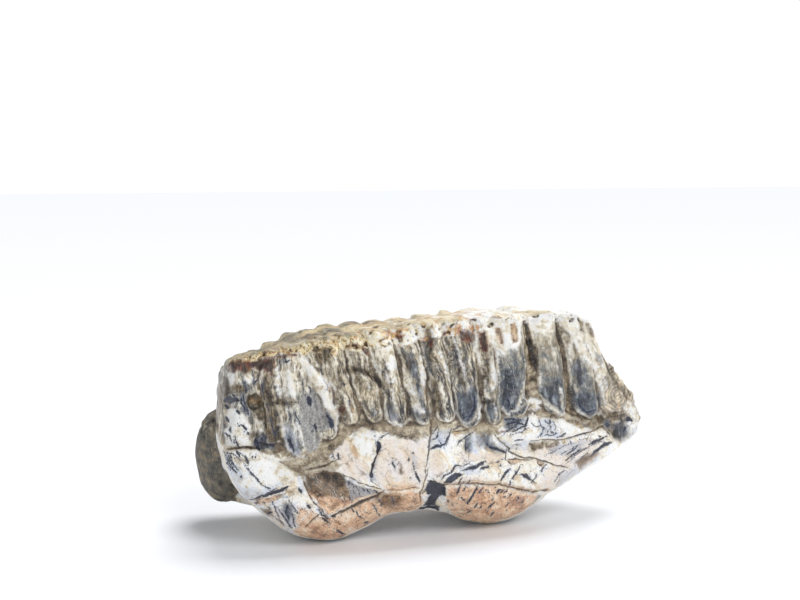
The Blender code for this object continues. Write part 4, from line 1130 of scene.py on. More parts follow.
def measure_forms(places, normals):
    """How high the raised and sunk forms stand at each point, in mm."""
    near = seen_in_photo(places, normals)
    near_at = near > 0
    photo_x, photo_y, photo_scale = (values[near_at] for values in lay_in_photo(places + wobble(places)))
    height = np.zeros(len(places))
    for step, slope, *outline in FORMS.values():
        depth = depth_inside(photo_x, photo_y, outline) / photo_scale
        height[near_at] += step * eased(depth, -FORM_FOOT, slope)
    return height * near


print("raised and sunk forms:", len(FORMS))

# %% [markdown]
# A thin line needs small faces, or it breaks into dots. So the squares of the near crown, and those of the
# roots round a crack or a stroke, are halved once, and the squares that lie on one are halved again. The
# rest stay as they are, which keeps the mesh below two hundred thousand triangles.

# %% Halve the squares of the near flank
MARK_MARGIN = 0.7   # mm round a mark that is halved once
LINE_MARGIN = 0.22  # mm round a thin mark that is halved again
BELOW_NECK = 3      # how far below the neck the crown's halving ends, mm

near_flank = (turned[:, 1] < FACING_FLANK) & (middles[:, 1] < 0)
on_crown = middles[:, 2] + FOOT_CUT > along(NECK, middles[:, 0] - CENTRED_BY) - BELOW_NECK
thin = measure_marks(middles, turned, ("crack", "ink"))
halve_faces(tooth, near_flank & (on_crown | (np.maximum(thin["crack"], thin["ink"]) > -MARK_MARGIN)))
use_modifier(tooth, "SMOOTH", factor=0.5, iterations=1)     # rounds the new corners
middles, turned = face_values(tooth.data)
thin = measure_marks(middles, turned, ("crack", "ink"))
on_thin_mark = (thin["crack"] > -LINE_MARGIN) | (np.abs(thin["ink"]) < LINE_MARGIN)
halve_faces(tooth, on_thin_mark & (turned[:, 1] < FACING_FLANK))
bpy.ops.object.mode_set(mode="EDIT")
bpy.ops.mesh.select_all(action="SELECT")
bpy.ops.mesh.quads_convert_to_tris()
bpy.ops.object.mode_set(mode="OBJECT")
print("triangles:", len(tooth.data.polygons))

# %% [markdown]
# Now the relief. Each point moves along its normal by a height that is the sum of simple parts: sunken
# cement and raised rims round the plates, fine flutes along them, a crumbling chewing face, knobbly cement
# at the neck, chipped cells on the roots, and grooves along the cracks. Numpy works on all points at once.
# A Displace modifier could do one such part, but the parts here depend on the plates and on the marks.

# %% Sculpt the relief
CEMENT_COVERED = 0.55   # how far the plates have closed over the cement at their tops, mm
SWAY_WIDE = 1.1         # how far the plates' edges sway from the straight, mm
SWAY_FINE = 0.5
EDGE_RAGGED = 0.7       # how ragged the plates' edges are, mm
CRUMB_WIDE = 1.6        # how ragged the lower edge of the crumbling is, mm
CRUMB_FINE = 1.2
CORNER_DEPTH = 6        # how far below the blunt end's corner the crumbling reaches, mm
# How far the crumbling reaches down the flanks, mm: (x, depth)
CRUMB_BAND = (
    (-84, 1.8), (-60, 2.6), (-48, 4.5), (-40, 6.5), (-28, 7.5), (-12, 7.0), (6, 6.5), (22, 4.0), (40, 3.5),
    (60, 3.0), (85, 2.5),
)


def bell(value, middle, width):
    """1 at the middle, falling smoothly to 0 at width away."""
    return 1 - eased(np.abs(value - middle), 0.0, width)


def chips(places, size):
    """0 on the seams between the cells of a broken surface, up to about 1 in their middles."""
    reach = [noise.voronoi(Vector(place))[0] for place in places / size]
    return np.array([second - first for first, second, *_ in reach])


places, normals = read_skin(tooth.data)
cast_x = places[:, 0] - CENTRED_BY
cast_z = places[:, 2] + FOOT_CUT
swayed_x = cast_x + SWAY_WIDE * bumps(places, 9.0, 5.0) + SWAY_FINE * bumps(places, 3.5, 5.0)
plate_depth, plate_number, plate_share, straight_x = measure_plates(swayed_x, places[:, 1], cast_z)
plate_depth += EDGE_RAGGED * bumps(places, (7.0, 7.0, 11.0), 15.0)
over_neck = cast_z - along(NECK, cast_x)
to_top = chewing_height(cast_x, places[:, 1]) - cast_z
at_corner = eased(-cast_x, -BLUNT_CORNER[0], -BLUNT_CORNER[0] + 3)
to_top = np.maximum(to_top, at_corner * (BLUNT_CORNER[1] + CORNER_DEPTH - cast_z))
grain = np.stack((straight_x, places[:, 1], places[:, 2]), axis=1)
marks = measure_marks(places, normals, NEAR_MARKS)
crown = eased(over_neck, -0.5, 2.0)
on_top = eased(normals[:, 2], 0.45, 0.8) * eased(over_neck, 4.0, 9.0)
on_top *= 1 - at_corner * (1 - eased(cast_z, BLUNT_CORNER[1] - CORNER_DEPTH, BLUNT_CORNER[1]))
crumb_edge = to_top + CRUMB_WIDE * bumps(places, 5.0) + CRUMB_FINE * bumps(places, 1.8)
crumb_band = along(CRUMB_BAND, cast_x)
crumb = np.maximum(1 - eased(crumb_edge / crumb_band, 0.35, 1.0), on_top) * crown
plate_depth += CEMENT_COVERED * plate_share * (1 - on_top)
print("share of points on the chewing face:", round(float((on_top > 0.5).mean()), 2))

# %% [markdown]
# Each part of the relief is a few layers of bumps. A layer is a height and the width of its bumps, which
# may differ along the three axes: the flutes are long and narrow, and stand upright along the plates.

# %% Heights of the relief
FLUTES = ((0.10, (0.9, 1.2, 5.0)), (0.22, (2.6, 3.0, 9.0)))     # (height, width) in mm
PITTING = 0.16          # height of the bumps all over the enamel, mm
RIM = 0.14              # height of the rims of the plates, mm
SUNK_LEAST = 0.25       # how far the cement lies below the plates, mm
SUNK_MORE = 0.5         # and how much lower it lies in places
HUMPS = (13.0, 16.0, 13.0)      # width of the humps of the chewing face, mm
CRUMBS = ((0.45, 2.3), (0.35, 1.2))
CRUMB_HOLE = 0.8        # depth of the holes in the crumbling edge, mm
KNOBS = ((0.5, 3.6), (0.25, 1.6))
ROOT_BUMPS = ((0.26, 6.0), (0.10, 1.8))
CELL = 8.0              # width of the chipped cells on the roots, mm
CELL_BEND = 2.2         # how far their seams bend, mm
SEAM = 0.22             # depth of their seams, mm


def layered(field, layers):
    """The sum of a few layers of bumps."""
    return sum(height * bumps(field, width) for height, width in layers)


cement = eased(-plate_depth + 0.5 * bumps(places, 2.2), 0.0, 1.1)
flutes = layered(grain, FLUTES) + PITTING * bumps(places, 2.4)
rims = RIM * bell(plate_depth, 0.35, 0.6) * (1 + 1.8 * bumps(places, 4.0))
flank = crown * (1 - on_top)
sinking = SUNK_LEAST + SUNK_MORE * eased(bumps(places, 11.0, 3.0), -0.3, 0.3)
valleys = -sinking * cement + rims + flutes * (1 - 0.4 * cement) + 0.3 * cement * bumps(places, 2.4)
height = flank * valleys
height += on_top * (0.15 * bell(plate_depth, 0.5, 1.1) - 0.15 * cement + 0.8 * bumps(places, HUMPS))
crumbling = layered(places, CRUMBS) - CRUMB_HOLE * eased(bumps(places, 2.8, 9.0), 0.25, 0.5)
fading = (1 - 0.6 * on_top) * (1 - 0.6 * eased(places[:, 1], 2.0, 12.0))
height += crumb * fading * crumbling
neck_band = bell(over_neck, 0.0, 5.0) * np.maximum(cement, 1 - crown)
height += neck_band * layered(places, KNOBS)
root = 1 - crown
bend = np.stack([bumps(places, 5.0, shift) for shift in (3.0, 23.0, 43.0)], axis=1)
seams = bell(chips(places + CELL_BEND * bend, CELL), 0.0, 0.12)
seams *= eased(bumps(places, 14.0), 0.0, 0.2)
height += root * (layered(places, ROOT_BUMPS) - SEAM * seams)
height += measure_forms(places, normals)
# kind of mark: how far it is raised or sunk, the depths between which it slopes, all in mm, and where
MARK_STEPS = {
    "crack": (-0.50, -0.5, 0.15, 1.0),
    "ink": (-0.12, -0.2, 0.4, 1.0),
    "rust": (-0.35, -0.3, 0.4, 1.0),
    "honey": (-0.15, -0.3, 0.4, 1.0),
    "chalk": (0.12, -0.4, 0.5, crown),
    "umber": (-0.20, -0.5, 0.5, root),
    "shade": (-0.35, -0.6, 1.0, crown),
}
for kind, (step, slope_start, slope_end, where) in MARK_STEPS.items():
    height += step * eased(marks[kind], slope_start, slope_end) * where
print("relief from", round(float(height.min()), 2), "to", round(float(height.max()), 2), "mm")

# %% [markdown]
# All that is left is to move each point along its normal. The soles of the roots stand on a flat surface,
# so no point may sink below it.

# %% Move the points
places += normals * height[:, None]
places[:, 2] = np.maximum(places[:, 2], 0.0)
tooth.data.vertices.foreach_set("co", (places * MM).ravel())
tooth.data.update()
tooth.data.shade_smooth()
print("lowest and highest point, mm:", np.round((places[:, 2].min(), places[:, 2].max()), 2))

# %% [markdown]
# Shade is painted into the hollows, and a pale highlight on the edges that stand proud. To find them, the
# height of each point is compared with the average height of its surroundings: where it lies below them it
# is in a hollow. Few rounds of averaging find the fine hollows, and many rounds find the wide ones.

# %% Find the hollows
FINE_ROUNDS = 4
WIDE_ROUNDS = 30


def hollowness(mesh, height, rounds):
    """How many mm each point's relief lies below that of its surroundings; negative where it stands proud."""
    edges = np.empty(len(mesh.edges) * 2, dtype=int)
    mesh.edges.foreach_get("vertices", edges)
    start, end = edges.reshape(-1, 2).T
    count = np.bincount(edges, minlength=len(height))
    averaged = height.copy()
    for _ in range(rounds):
        total = np.bincount(start, averaged[end], len(height))
        total += np.bincount(end, averaged[start], len(height))
        averaged = 0.5 * averaged + 0.5 * total / count
    return averaged - height


hollow_fine = hollowness(tooth.data, height, FINE_ROUNDS)
hollow_wide = hollowness(tooth.data, height, WIDE_ROUNDS)
for name, values in (("fine", hollow_fine), ("wide", hollow_wide)):
    print(name, "hollows, mm:", np.round(np.percentile(values, (2, 50, 98)), 2))

# %% [markdown]
# The plates differ in colour: pale at the blunt end, taupe in the middle, and grey to blue-black at the
# toes of the wide plates towards the tapered end. For each plate the table says how light it is (0 black, 1
# white) at its toe, middle and top, how warm (0 bluish, 1 tan), and how much darker the core of its toe is.

# %% Lightness and warmth of the plates
LIGHT_AND_WARM = {
    "end plate": ((0.84, 0.60, 0.46), (0.40, 0.30, 0.50), 0.0),
    "second plate": ((0.44, 0.42, 0.50), (0.70, 0.80, 0.60), 0.1),
    "long plate": ((0.56, 0.62, 0.86), (0.15, 0.30, 0.85), 0.0),
    "long plate, far fold": ((0.62, 0.66, 0.60), (0.60, 0.75, 0.70), 0.1),
    "thin plate": ((0.53, 0.56, 0.51), (0.80, 0.80, 0.60), 0.0),
    "fourth plate": ((0.50, 0.50, 0.52), (0.75, 0.85, 0.65), 0.2),
    "fifth plate": ((0.50, 0.50, 0.64), (0.40, 0.75, 0.50), 0.3),
    "sixth plate": ((0.52, 0.54, 0.60), (0.40, 0.70, 0.60), 0.35),
    "seventh plate": ((0.52, 0.50, 0.54), (0.40, 0.60, 0.75), 0.2),
    "dark plate": ((0.27, 0.34, 0.38), (0.15, 0.50, 0.75), 0.3),
    "small fold": ((0.36, 0.46, 0.62), (0.25, 0.60, 0.75), 0.25),
    "wide plate": ((0.26, 0.22, 0.98), (0.05, 0.05, 0.75), 0.2),
    "tall plate": ((0.38, 0.38, 1.0), (0.05, 0.30, 0.85), 0.1),
    "last plate": ((0.36, 0.42, 1.0), (0.05, 0.30, 0.85), 0.1),
    "end fold": ((0.60, 0.66, 1.0), (0.75, 0.75, 0.80), 0.0),
}
HALF_WAY = 0.42     # where up a plate its middle value counts
CORE_TOP = 0.30     # how far up the dark core of a toe reaches, as a share of the plate


def plate_tones(number, share, depth):
    """Lightness and warmth at each point, from its plate's table row."""
    rows = np.array([LIGHT_AND_WARM[name][:2] for name in PLATES])
    cores = np.array([LIGHT_AND_WARM[name][2] for name in PLATES])
    low, middle, high = (rows[number, :, i] for i in range(3))
    up = (share / HALF_WAY)[:, None]
    down = ((share - HALF_WAY) / (1 - HALF_WAY))[:, None]
    lower_half = low + (middle - low) * np.clip(up, 0, 1)
    upper_half = middle + (high - middle) * np.clip(down, 0, 1)
    tones = np.where(up < 1, lower_half, upper_half)
    core = cores[number] * eased(depth, 0.7, 2.0) * (1 - eased(share, 0.3 * CORE_TOP, CORE_TOP))
    return tones[:, 0] - core, tones[:, 1]


light, warm = plate_tones(plate_number, plate_share, plate_depth)
print("lightness of the crown:", np.round(np.percentile(light, (2, 50, 98)), 2))

# %% [markdown]
# The material can't run Python, so what was worked out here for each point is written on to the mesh as
# named attributes, which the material then reads. A painted texture could carry them too, but would need an
# unwrapped mesh and be less sharp.

# %% Write the attributes
SWIRL_CENTRE = (69, 48)     # x and height of the agate rings at the tapered end, mm
HEEL_RAGGED = 0.12          # how ragged the heel's edge is, as a share of its size
HEEL_EDGE = (1.04, 1.16)    # the shares of its size between which the heel fades out
NECK_REACH = 30             # heights over the neck are kept within this many mm


def write_attribute(mesh, name, values):
    if values.ndim == 1:
        kind, part = "FLOAT", "value"
    else:
        kind, part = "FLOAT_VECTOR", "vector"
    attribute = mesh.attributes.new(name, kind, "POINT")
    attribute.data.foreach_set(part, values.astype(np.float32).ravel())


from_heel = np.linalg.norm((places - HEEL_CENTRE) / HEEL_RADII, axis=1)
from_heel += HEEL_RAGGED * bumps(places, 7.0, 3.0)
measured = {
    "light": light,
    "warm": warm,
    "heel": 1 - eased(from_heel, *HEEL_EDGE),
    "crumb": crumb,
    "on_top": on_top,
    "plate_depth": np.clip(plate_depth, -REACH, REACH),
    "over_neck": np.clip(over_neck, -NECK_REACH, NECK_REACH),
    "grain": grain,
    "swirl": np.hypot(cast_x - SWIRL_CENTRE[0], cast_z - SWIRL_CENTRE[1]),
    "hollow_fine": hollow_fine,
    "hollow_wide": hollow_wide,
}
for name, values in {**measured, **marks}.items():
    write_attribute(tooth.data, name, values)
print("attributes:", len(tooth.data.attributes))

# %% [markdown]
# The material is a recipe of many small steps: noise, masks and mixes. A little helper adds the nodes and
# joins them, so that each line of the recipe reads as one step. Distances and places are in millimetres all
# through, and colours are written as red, green and blue from 0 to 255.

# %% A helper for node recipes
def tint(red, green, blue):
    """A colour given from 0 to 255, as the linear light that a shader takes."""
    channels = [value / 255 for value in (red, green, blue)]
    return tuple(c / 12.92 if c <= 0.04045 else ((c + 0.055) / 1.055) ** 2.4 for c in channels) + (1.0,)


class Recipe:
    """Adds nodes to one node tree. A value is a number, a colour or the output of an earlier step."""

    def __init__(self, tree):
        self.tree = tree

    def node(self, kind, inputs, **settings):
        added = self.tree.nodes.new(kind)
        for name, value in settings.items():
            setattr(added, name, value)
        for name, value in inputs.items():
            if isinstance(value, bpy.types.NodeSocket):
                self.tree.links.new(value, added.inputs[name])
            else:
                added.inputs[name].default_value = value
        return added

    def attribute(self, name, output="Fac"):
        return self.node("ShaderNodeAttribute", {}, attribute_name=name).outputs[output]

    def x_of(self, place):
        """How far along the tooth a place lies."""
        return self.node("ShaderNodeSeparateXYZ", {0: place}).outputs[0]

    def math(self, operation, first, second=0.0):
        return self.node("ShaderNodeMath", {0: first, 1: second}, operation=operation).outputs[0]

    def add(self, first, second):
        return self.math("ADD", first, second)

    def times(self, first, second):
        return self.math("MULTIPLY", first, second)

    def span(self, value, start, end, low=0.0, high=1.0):
        """Low below start, high above end, smooth between them."""
        inputs = {"Value": value, "From Min": start, "From Max": end, "To Min": low, "To Max": high}
        return self.node("ShaderNodeMapRange", inputs, interpolation_type="SMOOTHSTEP").outputs[0]

    def vector(self, operation, first, second):
        return self.node("ShaderNodeVectorMath", {0: first, 1: second}, operation=operation).outputs[0]

    def stretch(self, vector, scale):
        return self.vector("MULTIPLY", vector, scale)

    def noise(self, vector, per_mm, detail=2.0, roughness=0.5, output=0):
        inputs = {"Vector": vector, "Scale": per_mm, "Detail": detail, "Roughness": roughness}
        return self.node("ShaderNodeTexNoise", inputs).outputs[output]

    def swing(self, vector, per_mm, detail, roughness, amount):
        """Noise that swings round zero."""
        return self.times(self.math("SUBTRACT", self.noise(vector, per_mm, detail, roughness), 0.5), amount)

    def warp(self, vector, per_mm, amount):
        """Shifts every place a little, up to about a third of amount, so that straight patterns bend."""
        shift = self.vector("SUBTRACT", self.noise(vector, per_mm, 3.0, output="Color"), (0.5, 0.5, 0.5))
        return self.vector("ADD", vector, self.stretch(shift, (amount, amount, amount)))

    def seams(self, vector, per_mm, width):
        """Thin lines between the cells of a broken surface, width in cells."""
        inputs = {"Vector": vector, "Scale": per_mm}
        cells = self.node("ShaderNodeTexVoronoi", inputs, feature="DISTANCE_TO_EDGE")
        return self.span(cells.outputs["Distance"], width, 0.0)

    def mix(self, share, first, second, blend="MIX"):
        """Goes from the first colour to the second as share goes from 0 to 1."""
        first, second = (tint(*side) if isinstance(side, tuple) else side for side in (first, second))
        inputs = {0: share, 6: first, 7: second}
        return self.node("ShaderNodeMix", inputs, data_type="RGBA", blend_type=blend).outputs[2]

    def lay(self, base, top, mask, share):
        """Lays a colour over the base where the mask is 1. share says how much it covers there."""
        return self.mix(self.times(mask, share), base, top)

    def ramp(self, value, stops):
        """Turns a value into a colour. A stop is a value, and then its red, green and blue."""
        added = self.node("ShaderNodeValToRGB", {0: value})
        elements = added.color_ramp.elements
        for place, *_ in stops[2:]:
            elements.new(place)
        for element, (place, *colour) in zip(elements, stops):
            element.position = place
            element.color = tint(*colour)
        return added.outputs[0]


print("middle grey as linear light:", round(tint(128, 128, 128)[0], 3))

# %% [markdown]
# A few colours come back in several places: the whites of clean enamel and bone, the browns of cement and
# cracks, and the blues of the mineral stains.

# %% Colours that come back
CHALK = (246, 246, 244)
CREAM = (238, 228, 206)
BONE = (216, 208, 190)
UMBER = (110, 88, 62)
PEAT = (54, 42, 32)
MAROON = (72, 34, 28)
HAZE = (176, 188, 210)
INK = (16, 21, 36)
INK_GREY = (80, 86, 98)
print("chalk white as linear light:", [round(value, 3) for value in tint(*CHALK)])

# %% [markdown]
# Two effects are used again and again, so each is a node group. Ragged patch turns a distance into a mask
# with a frayed edge. Specks scatters small grains, stretched along any direction.

# %% Node groups
NUMBER = "NodeSocketFloat"
VECTOR = "NodeSocketVector"


def new_group(name, inputs, outputs):
    group = bpy.data.node_groups.new(name, "ShaderNodeTree")
    for label, kind, value in inputs:
        socket = group.interface.new_socket(label, in_out="INPUT", socket_type=kind)
        if value is not None:
            socket.default_value = value
    for label, kind in outputs:
        group.interface.new_socket(label, in_out="OUTPUT", socket_type=kind)
    entry = group.nodes.new("NodeGroupInput")
    leave = group.nodes.new("NodeGroupOutput")
    return group, Recipe(group), entry.outputs, leave.inputs


def build_ragged_patch():
    inputs = (("Distance", NUMBER, 0.0), ("Place", VECTOR, None), ("Fray", NUMBER, 1.4),
              ("Softness", NUMBER, 0.2), ("Grain per mm", NUMBER, 0.9))
    group, recipe, given, result = new_group("ragged_patch", inputs, (("Mask", NUMBER),))
    frayed = recipe.math("SUBTRACT", recipe.noise(given["Place"], given["Grain per mm"], 4.0, 0.68), 0.5)
    moved = recipe.add(given["Distance"], recipe.times(frayed, given["Fray"]))
    soft = given["Softness"]
    mask = recipe.span(moved, recipe.times(soft, -1.0), soft)
    group.links.new(mask, result["Mask"])
    return group


def build_specks():
    inputs = (("Place", VECTOR, None), ("Per mm", NUMBER, 1.0), ("Amount", NUMBER, 0.3))
    group, recipe, given, result = new_group("specks", inputs, (("Mask", NUMBER),))
    grains = recipe.noise(given["Place"], given["Per mm"], 2.0, 0.6)
    level = recipe.math("SUBTRACT", 0.72, recipe.times(given["Amount"], 0.3))
    mask = recipe.span(grains, level, recipe.add(level, 0.05))
    group.links.new(mask, result["Mask"])
    return group


RAGGED_PATCH = build_ragged_patch()
SPECKS = build_specks()


def patch(recipe, kind, place, fray=1.6, softness=0.25, per_mm=0.9, grown=0.0):
    """Mask of one kind of mark, its outline frayed, softened and moved outwards by that many mm."""
    inputs = {"Distance": recipe.add(recipe.attribute(kind), grown), "Place": place, "Fray": fray,
              "Softness": softness, "Grain per mm": per_mm}
    return recipe.node("ShaderNodeGroup", inputs, node_tree=RAGGED_PATCH).outputs["Mask"]


def specks(recipe, place, per_mm, amount):
    inputs = {"Place": place, "Per mm": per_mm, "Amount": amount}
    return recipe.node("ShaderNodeGroup", inputs, node_tree=SPECKS).outputs["Mask"]


print("node groups:", [group.name for group in bpy.data.node_groups])

# %% [markdown]
# Cement fills the gaps between the plates and makes the neck, the band between the toes of the plates and
# the root. It is a smooth beige-brown stone with darker clouds and thin dark seams.

# %% Colour of the cement
CEMENT = (
    (0.34, 62, 50, 38), (0.43, 116, 98, 74), (0.52, 152, 137, 112), (0.62, 186, 172, 146),
    (0.76, 228, 218, 196),
)


def cement_colour(recipe, place, lift=0.0):
    """Cement, made paler all over by the lift."""
    clouds = recipe.add(recipe.noise(place, 0.4, 6.0, 0.72), recipe.swing(place, 0.1, 2.0, 0.5, 0.5))
    colour = recipe.ramp(recipe.add(clouds, lift), CEMENT)
    lines = recipe.seams(recipe.warp(place, 0.4, 4.0), 0.2, 0.05)
    lines = recipe.times(lines, recipe.span(recipe.noise(place, 0.13, 2.0), 0.46, 0.58))
    return recipe.lay(colour, PEAT, lines, 0.6)


print("stops in the cement's ramp:", len(CEMENT))

# %% [markdown]
# The crown: lightness and warmth come from the plates, noise stretched along the plates adds the streaks,
# and two ramps, one cool and one warm, turn lightness into colour. Towards the tapered end the stone is
# glassier, with fewer fibres. Then cement fills the valleys, a thin dark line of painted shade lies where it
# meets the enamel, and pale rims line the plates.

# %% Colour of the crown
COOL_STONE = (
    (0.0, 30, 36, 48), (0.2, 74, 82, 94), (0.4, 120, 124, 124), (0.6, 168, 168, 162), (0.8, 216, 215, 208),
    (1.0, *CHALK),
)
WARM_STONE = (
    (0.0, 40, 32, 26), (0.2, 88, 74, 56), (0.4, 136, 120, 94), (0.6, 182, 166, 136), (0.8, 224, 212, 186),
    (1.0, *CREAM),
)
GLASSY_FROM = 4.0   # along the tooth, mm
GLASSY_FULLY = 20.0


def plate_light(recipe, place, bent, mottle, glassy):
    """Lightness of the enamel: that of its plate, with fibres, clouds, streaks and mottle."""
    fibres = recipe.swing(recipe.stretch(bent, (2.0, 1.7, 0.32)), 1.0, 4.0, 0.72, 0.9)
    fibres = recipe.times(fibres, recipe.span(glassy, 0.0, 1.0, 1.0, 0.3))
    clouds = recipe.swing(recipe.stretch(bent, (0.30, 0.30, 0.14)), 1.0, 5.0, 0.7, 1.4)
    streaks = recipe.swing(recipe.stretch(bent, (0.75, 0.6, 0.11)), 1.0, 2.0, 0.6, 2.0)
    clouds = recipe.add(clouds, recipe.times(streaks, recipe.span(glassy, 0.0, 1.0, 1.0, 0.4)))
    calmer = recipe.times(mottle, recipe.span(glassy, 0.0, 1.0, 1.0, 0.65))
    return recipe.add(recipe.attribute("light"), recipe.add(fibres, recipe.add(clouds, calmer)))


def enamel_colour(recipe, place, grain, mottle):
    """The plates without cement or rims."""
    bent = recipe.warp(grain, 0.3, 2.4)
    glassy = recipe.span(recipe.x_of(place), GLASSY_FROM, GLASSY_FULLY)
    light = plate_light(recipe, place, bent, mottle, glassy)
    warm = recipe.add(recipe.attribute("warm"), recipe.swing(place, 0.35, 3.0, 0.6, 2.0))
    warm = recipe.math("MINIMUM", recipe.math("MAXIMUM", warm, 0.0), 1.0)
    plate = recipe.mix(warm, recipe.ramp(light, COOL_STONE), recipe.ramp(light, WARM_STONE))
    threads = recipe.noise(recipe.stretch(bent, (2.8, 2.0, 0.3)), 1.0, 2.0, 0.6)
    threads = recipe.add(threads, recipe.times(glassy, -0.03))
    dark_threads = recipe.span(threads, 0.58, 0.66, 0.0, 0.75)
    plate = recipe.lay(plate, PEAT, dark_threads, recipe.span(glassy, 0.0, 1.0, 1.0, 0.5))
    threads = recipe.add(threads, recipe.times(glassy, 0.06))
    return recipe.mix(recipe.span(threads, 0.42, 0.34, 0.0, 0.6), plate, CREAM)


def crown_colour(recipe, place, grain):
    mottle = recipe.swing(place, 0.5, 6.0, 0.74, 1.4)
    plate = enamel_colour(recipe, place, grain, mottle)
    edge = recipe.add(recipe.attribute("plate_depth"), recipe.times(mottle, 1.2))
    colour = recipe.mix(recipe.span(edge, 0.25, -0.3), plate, cement_colour(recipe, place))
    # a thin line of painted shade where the cement meets the enamel
    contact_shade = recipe.times(recipe.span(edge, -1.3, -0.5), recipe.span(edge, 0.3, -0.3))
    contact_shade = recipe.times(contact_shade, recipe.span(recipe.noise(place, 0.4, 3.0), 0.44, 0.56))
    colour = recipe.lay(colour, PEAT, contact_shade, 0.8)
    rim = recipe.times(recipe.span(edge, -0.3, 0.3), recipe.span(edge, 1.1, 0.4))
    rim = recipe.times(rim, recipe.span(recipe.noise(place, 0.6, 4.0, 0.7), 0.48, 0.58))
    return recipe.lay(colour, recipe.mix(recipe.span(mottle, -0.1, 0.15), BONE, CHALK), rim, 0.6)


print("stops in the crown's ramps:", len(COOL_STONE), len(WARM_STONE))

# %% [markdown]
# The chewing face and its edge are not polished. The edge crumbles: beige at the blunt end, cream, yellow
# and rusty in the middle, and nearly white at the tapered end. The face behind it is smoother, grey-green
# to tan humps.

# %% Colour of the chewing face
CRUMBLY = (
    (0.33, 78, 60, 44), (0.40, 158, 132, 98), (0.47, 228, 206, 154), (0.55, 252, 238, 194), (0.66, *CHALK),
)
ORANGE_STAIN = ((0.36, 120, 62, 34), (0.5, 196, 132, 76), (0.64, 236, 206, 132))
SMOOTH_HUMPS = (
    (0.32, 92, 88, 78), (0.42, 134, 128, 112), (0.5, 172, 158, 130), (0.58, 204, 186, 148),
    (0.68, 226, 212, 180), (0.78, *CHALK),
)


def crumbly_stone(recipe, place, along_tooth):
    """Clumps and crumbs, paler from the blunt end to the middle and paler again at the tapered end."""
    paler = recipe.add(recipe.span(along_tooth, -45.0, -10.0, -0.03, 0.18),
                       recipe.span(along_tooth, 20.0, 45.0, 0.0, 0.2))
    clumps = recipe.add(recipe.noise(place, 0.5, 5.0, 0.72), recipe.swing(place, 1.5, 3.0, 0.7, 0.7))
    return recipe.ramp(recipe.add(clumps, paler), CRUMBLY)


def smooth_stone(recipe, place, along_tooth):
    """Humps behind the edge, which turn from grey-green to tan along the tooth."""
    humps = recipe.add(recipe.noise(place, 0.07, 3.0, 0.5), recipe.swing(place, 0.7, 5.0, 0.75, 0.3))
    return recipe.ramp(recipe.add(humps, recipe.span(along_tooth, -70.0, 50.0, -0.06, 0.24)), SMOOTH_HUMPS)


def chewing_colour(recipe, place):
    along_tooth = recipe.x_of(place)
    stained = recipe.times(recipe.span(recipe.noise(place, 0.2, 4.0, 0.65), 0.51, 0.58),
                           recipe.span(along_tooth, 32.0, 8.0, 0.1, 0.85))
    stained = recipe.times(stained, recipe.span(along_tooth, -50.0, -20.0, 0.3, 1.0))
    stain = recipe.ramp(recipe.noise(place, 0.9, 4.0, 0.7), ORANGE_STAIN)
    behind = recipe.times(recipe.attribute("on_top"),
                          recipe.span(recipe.attribute("plate_depth"), -0.9, 0.1, 0.35, 0.9))
    base = recipe.mix(behind, crumbly_stone(recipe, place, along_tooth),
                      smooth_stone(recipe, place, along_tooth))
    base = recipe.lay(base, stain, stained, recipe.span(behind, 0.0, 1.0, 1.0, 0.6))
    return recipe.lay(base, PEAT, specks(recipe, place, 0.9, 0.3), 0.6)


print("stops in the chewing face's ramps:", len(CRUMBLY), len(ORANGE_STAIN), len(SMOOTH_HUMPS))

# %% [markdown]
# The roots: chalk to cream with faint clouds, brush-like grain along the root, hairlines where the stone
# has cracked in cells, and a fine grey stipple. Peach and brown glass are laid over it as soft patches.
# Tiny slanting dashes follow the fibres of the peach swellings.

# %% Colour of the roots
FIBRE_SLANT = 0.62  # how far the fibres of the roots lean, radians
ROOT_CLOUDS = (
    (0.28, 196, 174, 146), (0.38, 238, 220, 188), (0.46, 250, 244, 230), (0.58, 252, 252, 252),
    (0.66, 226, 230, 238), (0.76, 196, 204, 218),
)
PEACH = (
    (0.3, 146, 108, 84), (0.42, 212, 166, 130), (0.53, 238, 198, 160), (0.62, 246, 218, 188),
    (0.74, 252, 238, 222),
)
BROWN_GLASS = ((0.34, 48, 34, 20), (0.46, 96, 72, 44), (0.57, 140, 108, 70), (0.7, 204, 172, 130))
BLUSH = (228, 210, 196)
COOL_GREY = (190, 196, 208)
FIBRE_GREY = (120, 112, 108)
HAIR_GREY = (92, 84, 84)


def root_patches(recipe, place, base, on_peach):
    """Blush, cool, peach, cement and brown glassy patches over the pale root."""
    base = recipe.lay(base, BLUSH, patch(recipe, "blush", place, 3.0, 0.8, 0.5), 0.55)
    base = recipe.lay(base, COOL_GREY, patch(recipe, "cool", place, 3.0, 0.8, 0.5), 0.6)
    flesh = recipe.add(recipe.noise(place, 0.3, 5.0, 0.62), recipe.swing(place, 0.12, 3.0, 0.6, 0.5))
    base = recipe.mix(on_peach, base, recipe.ramp(flesh, PEACH))
    crust = patch(recipe, "cement", place, 3.4, 0.7, 0.6)
    base = recipe.mix(crust, base, cement_colour(recipe, place, 0.05))
    umber = recipe.ramp(recipe.noise(place, 0.22, 6.0, 0.72), BROWN_GLASS)
    return recipe.lay(base, umber, patch(recipe, "umber", place, 3.0, 0.8, 0.6), 0.92)


